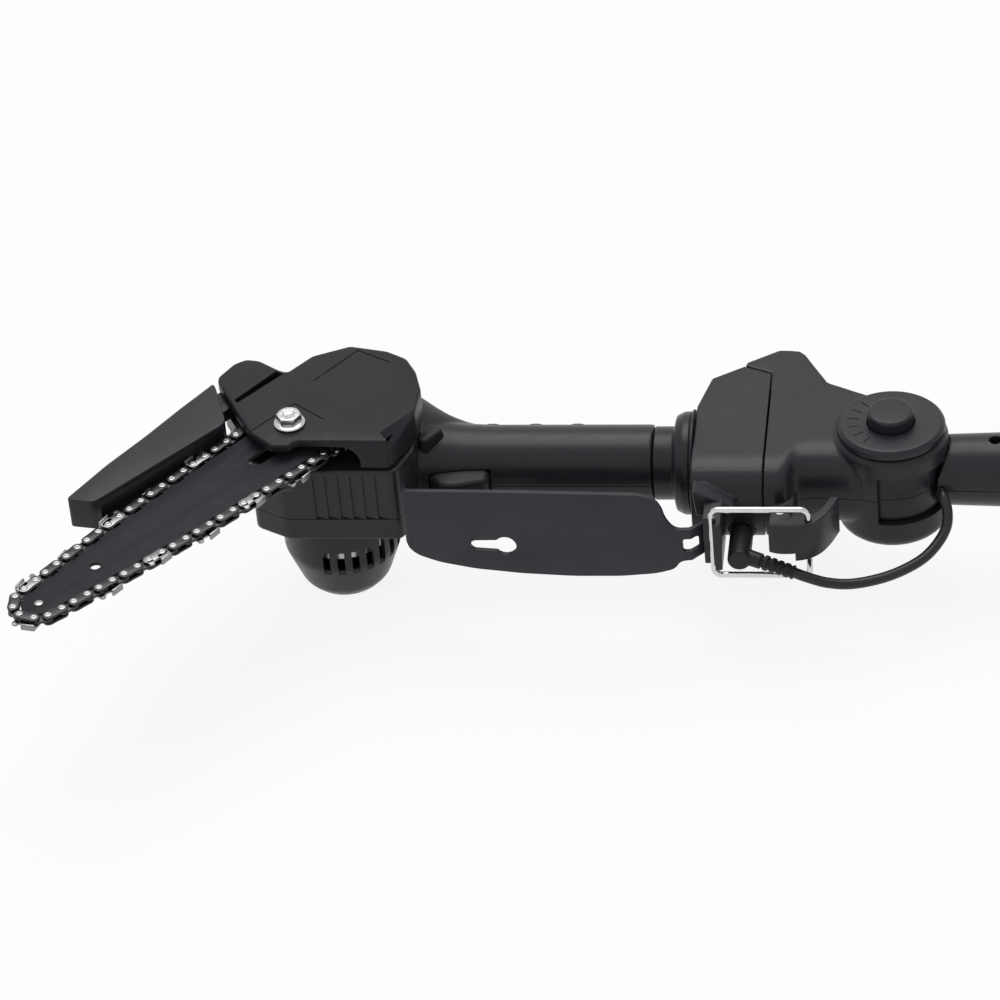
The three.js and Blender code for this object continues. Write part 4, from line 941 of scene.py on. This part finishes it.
# -------------------- dial, arm and pole
def dial():
    """The dial ring with its six angle marks, and the round button in its middle."""
    top, base, bore, r = 75.9, 71.5, 9.9, 22.8
    marks, first_mark, mark_step, mark_half, depth = 6, 134, 20, 0.24, 0.5
    profile = rounded([(bore, base), (22.2, base), (r, base + 0.7), (r, base + 2.9), (21.4, top - 0.1),
                       (20.6, top), (bore, top)], 0.6)
    mark = [(13.6, -mark_half), (18.4, -mark_half), (18.4, mark_half), (13.6, mark_half)]
    lines = [turned(mark, first_mark + i * mark_step, PIVOT) for i in range(marks)]
    body = cut(lathe(profile, "Z", PIVOT, 128), prisms(lines, top - depth, top + 2))
    piece(body, "angle_dial", "pivot_dial", SHELL, 30)
    knob = rounded(rod(bore - 0.3, 70, top + 5.5), 1.6, 6)
    piece(lathe(knob, "Z", PIVOT, 96), "angle_knob", "angle_button", SHELL)


def arm():
    """The arm from the pivot barrel to the pole, as two shells."""
    barrel_r, barrel_half, pole_x, end_x = 21.5, 11.2, 292, 345
    hole_x, screw_x = 279, 318
    profile = [(0, 240), (14.6, 248), (15.2, 268), (15.8, 288), (16.6, 328), (17.6, 333), (18, 336),
               (18, end_x - 1), (17.2, end_x), (0, end_x)]
    cone = cut(on_pole(profile), pin(barrel_r + 2.7, 0, 100, PIVOT, 96))
    neck = on_pole([(0, 236), (14.2, 240), (14.6, 248), (14.7, 252), (0, 252)])
    overlap(neck, box(200, 300, -40, 60, *about(barrel_half)))
    barrel = rounded(rod(barrel_r, *about(barrel_half)), 1)
    body = fused(cone, neck, lathe(barrel, "Z", PIVOT, 96), voxel=0.55, relax=4)
    bore = on_pole(rod(11.4, pole_x, end_x + 1), 48)
    room = on_pole(rod(8.6, 262, pole_x + 1), 40)
    bolt = pin(4.4, 0, 100, PIVOT, 32)
    hole = pin(2.85, AXIS_Z, 100, (hole_x, POLE_Y), 32)
    screw = pin(2.3, 0, 43, (screw_x, POLE_Y))
    cut(body, bore, room, bolt, hole, screw)
    split(body, ("arm_top", "arm_upper"), ("arm_bottom", "arm_lower"))


def pole():
    wall = 1.2
    for node, r, a, b in (("inner_tube", 11, 292.3, 800), ("mid_tube", 12.8, 392, 860),
                          ("outer_tube", 14.6, 470, 985)):
        profile = rounded(sleeve(r - wall, r, a, b), 0.35, 3)
        piece(on_pole(profile), node + "_skin", node, ANODISED, 30)


def foam_sleeve():
    """The foam grip, with rounded ends and shallow grooves round it."""
    inner, outer, a, b = 14.9, 18.8, 540, 690
    steps, end_r, pitch, groove_depth, groove_half = 100, 1.6, 12.5, 0.5, 0.9
    profile = [(inner, a)]
    for i in range(steps + 1):
        x = a + (b - a) * i / steps
        end = min(x - a, b - x)
        edge = end_r - math.sqrt(max(0, end_r ** 2 - max(0, end_r - end) ** 2))
        groove = groove_depth * math.exp(-(((x - a) % pitch - pitch / 2) / groove_half) ** 2)
        profile.append((outer - edge - groove, x))
    profile.append((inner, b))
    piece(on_pole(profile), "foam_grip", "foam_sleeve", FOAM, 50)


def clamp_collar(name, x, bore, guide, hinge):
    """The collar of one tube clamp, with the ears that hold its lever."""
    length, seat, ear_half, room_half = 42, 9.7, 11, 7.3
    outer, inner, nose = bore + 4.5, bore + 0.3, guide + 0.3
    end = x + length
    profile = [(nose, x), (outer, x), (outer, end), (inner, end), (inner, x + seat), (nose, x + seat)]
    collar = on_pole(rounded(profile, 1.2))
    band = on_pole(sleeve(outer - 0.7, outer + 1, x + 15, x + 16))
    face = POLE_Y - outer
    ear = rounded([(x + 3, face + 3), (x + 3.5, face - 4), (x + 8, face - 8), (x + 12.5, face - 4),
                   (x + 13, face + 3)], 3)
    ears = bevelled(prism(ear, *about(ear_half)), 0.9, 3, 40)
    cut(ears, on_pole(rod(bore + 2, x - 1, end + 3), 64))
    combine(cut(collar, band), [ears], "UNION")
    cut(collar, box(x - 2, x + 14, face - 9, face + 0.6, *about(room_half)), pin(2.3, 0, 100, hinge))
    piece(collar, name + "_collar", name + "_clamp", SHELL)


def clamp_lever(name, hinge):
    """The lever of one tube clamp, with five finger grooves at its free end, and its hinge pin."""
    half, pin_half, groove_r, groove_step = 7, 10.6, 0.8, 2.6
    x, y = hinge
    route = [(x - 3.2, y + 1.6), (x - 3.2, y - 2.2), (x, y - 3.4), (x + 15, y - 2.6), (x + 32, y - 1.8),
             (x + 46, y - 3.6), (x + 47, y - 0.8), (x + 32, y + 2.2), (x + 18, y + 2.9), (x + 8, y + 3.2)]
    blade = bevelled(prism(rounded(route, 1.4), *about(half)), 0.8, 3, 40)
    grooves = [arc(x + 33 + groove_step * i, y - 3.2 - 0.15 * i, groove_r, 0, 330, 11) for i in range(5)]
    cut(blade, prisms(grooves, *about(5.4)))
    axle = rounded(rod(2, *about(pin_half)), 0.4)
    piece(joined(blade, lathe(axle, "Z", hinge, 24)), name + "_clamp_lever", name + "_lever", SOFT)


def clamp(name, x, bore, guide):
    hinge = (x + 8, POLE_Y - bore - 8.5)
    clamp_collar(name, x, bore, guide, hinge)
    clamp_lever(name, hinge)


def rear_grip():
    """The rear handle and its battery foot as one skin, hollowed and split down the middle plane."""
    start, end, foot_start, foot_end, tube_end = 930, 1150, 1036.4, 1149.6, 985.3
    bay_half, bay_z, pull_half, lock_half = 36.3, 36.3, 6.5, 5.4
    section = [(17.5, start), (20.5, 936), (21.5, 975), (19.5, 992), (18, 1006), (18, 1050), (20, 1075),
               (22, 1120), (20, end)]
    body = on_pole([(0, start), *smooth_outline(section, 6), (0, end)])
    foot = rounded([(-30.6, 29.2), (46.2, 29.2), (46.2, 38), (30, 47), (-14.4, 47), (-30.6, 38)], 3)
    body = fused(body, prism(foot, foot_start, foot_end, "X"), voxel=0.9, relax=12)
    inside = [(0, 960), (18.9, 975), (16.9, 992), (15.4, 1006), (15.4, 1050), (17.4, 1075), (18, 1147.4),
              (0, 1147.4)]
    room = overlap(on_pole(inside, 64), box(900, 1200, -60, 80, 41, 120))
    bore = on_pole(rod(14.9, 900, tube_end), 64)
    bay = box(1041.7, 1160, *about(bay_half, POLE_Y), 0, bay_z)
    contacts = box(1060, 1100, *about(15, POLE_Y), 30, 43)
    pull = box(1003.5, 1030.5, *about(pull_half, POLE_Y), 0, AXIS_Z)
    lock = box(999.6, 1016.4, *about(lock_half, POLE_Y), AXIS_Z, 100)
    rings = bmesh.new()
    for x in (941, 944.5, 948):
        add_lathe(rings, sleeve(20.2, 24, x, x + 1), "X", POLE_AXIS, 96)
    cut(body, room, bore, bay, contacts, pull, lock, put(rings))
    near, far = about(SEAM / 2, POLE_Y)
    piece(half_of(body, near, False, (0, 1, 0)), "grip_shell_left", "grip_left", SHELL)
    piece(half_of(body, far, True, (0, 1, 0)), "grip_shell_right", "grip_right", SHELL)
    bpy.data.objects.remove(body)


def battery():
    """The pack, with finger grooves on both sides, a seam line, and a window for its release."""
    x0, x1, y0, y1, height, seam_z = 1042, 1146, -28.2, 43.8, 36, 29.6
    first_x, pitch, width, depth = 1068, 7, 2.4, 1.7
    section = rounded([(y0, 0), (y1, 0), (y1, height), (y0, height)], 5, 6)
    pack = bevelled(prism(section, x0, x1, "X"), 2.2, 4, 50)
    places = [(first_x + pitch * i, y) for y in (y0 - 1, y1 - 0.7) for i in range(9)]
    grooves = [[(x, y), (x + width, y), (x + width, y + depth), (x, y + depth)] for x, y in places]
    seam = prism([(-40, seam_z), (60, seam_z), (60, seam_z + 0.5), (-40, seam_z + 0.5)], 1030, 1160, "X")
    cut(seam, prism(inset(section, 0.5), x0 + 0.6, x1 - 0.6, "X"))
    release = box(1138, 1147, *about(11.3, POLE_Y), 12.7, 23.3)
    piece(cut(pack, release, prisms(grooves, 8, 26), seam), "battery_case", "battery_pack", SHELL)


dial()
arm()
pole()
foam_sleeve()
clamp("front", 382, 12.8, 11)
clamp("rear", 460, 14.6, 12.8)
rear_grip()
battery()

REFINED = {"battery_release": 0.9, "rear_trigger": 2.2, "rear_lock": 1.4, "dc_socket": 0.3}
for node, width in REFINED.items():
    piece(from_cad(node, width, 3), node + "_body", node)

# the nodes that stay as the CAD has them
STAYS = {"guard_spring": STEEL, "guard_pin": STEEL, "arm_set_screw": STEEL}
for node, obj in frame["nodes"].items():
    if node in done:
        continue
    obj.data.materials.clear()
    obj.data.materials.append(STAYS.get(node) or BY_SLOT[SLOT_OF[node]])


# -------------------- floor and light
def tree_node(tree, kind, inputs=(), **settings):
    """A shader node whose first inputs are linked, or set where the input is a plain value."""
    node = tree.nodes.new("ShaderNode" + kind)
    for key, value in settings.items():
        setattr(node, key, value)
    for socket, value in zip(node.inputs, inputs):
        if hasattr(value, "links"):
            tree.links.new(value, socket)
        else:
            socket.default_value = value
    return node.outputs[0]


def seen_directly(tree):
    """1 for rays from the camera, from a glossy surface or through a clear one, and 0 for all others."""
    path = tree.nodes.new("ShaderNodeLightPath").outputs
    seen = tree_node(tree, "Math", (path["Is Camera Ray"], path["Is Glossy Ray"]), operation="MAXIMUM")
    return tree_node(tree, "Math", (seen, path["Is Transmission Ray"]), operation="MAXIMUM")


def plain_floor():
    """A round pale floor that mostly glows where it is seen, so that it stays even."""
    radius, just_below, glow_share = 8, -0.0002, 0.88
    bm = bmesh.new()
    bmesh.ops.create_circle(bm, cap_ends=True, radius=radius, segments=96)
    floor = put(bm, "floor")
    floor.location.z = just_below
    paper = bpy.data.materials.new("floor_paper")
    paper.use_nodes = True
    tree = paper.node_tree
    tree.nodes.clear()
    share = tree_node(tree, "Math", (seen_directly(tree), glow_share), operation="MULTIPLY")
    matt = tree_node(tree, "BsdfDiffuse", [(0.86, 0.86, 0.86, 1)])
    glow = tree_node(tree, "Emission")
    output = tree.nodes.new("ShaderNodeOutputMaterial")
    tree.links.new(tree_node(tree, "MixShader", (share, matt, glow)), output.inputs[0])
    floor.data.materials.append(paper)


def studio_light():
    """A pale surround that lights softly, and two broad suns."""
    world = bpy.data.worlds.new("studio")
    bpy.context.scene.world = world
    world.use_nodes = True
    tree = world.node_tree
    sky = tree.nodes["Background"]
    sky.inputs["Color"].default_value = (1, 1, 1, 1)
    sky.inputs["Strength"].default_value = 0.5
    pale = tree_node(tree, "Background")
    mix = tree_node(tree, "MixShader", (seen_directly(tree), sky.outputs[0], pale))
    tree.links.new(mix, tree.nodes["World Output"].inputs[0])
    for name, strength, tilt, turn, soft in (("key", 1.7, 24, 190, 45), ("fill", 0.15, 62, 330, 80)):
        data = bpy.data.lights.new(name, "SUN")
        data.energy, data.angle = strength, rad(soft)
        added(name, data).rotation_euler = (rad(tilt), 0, rad(turn))


plain_floor()
studio_light()
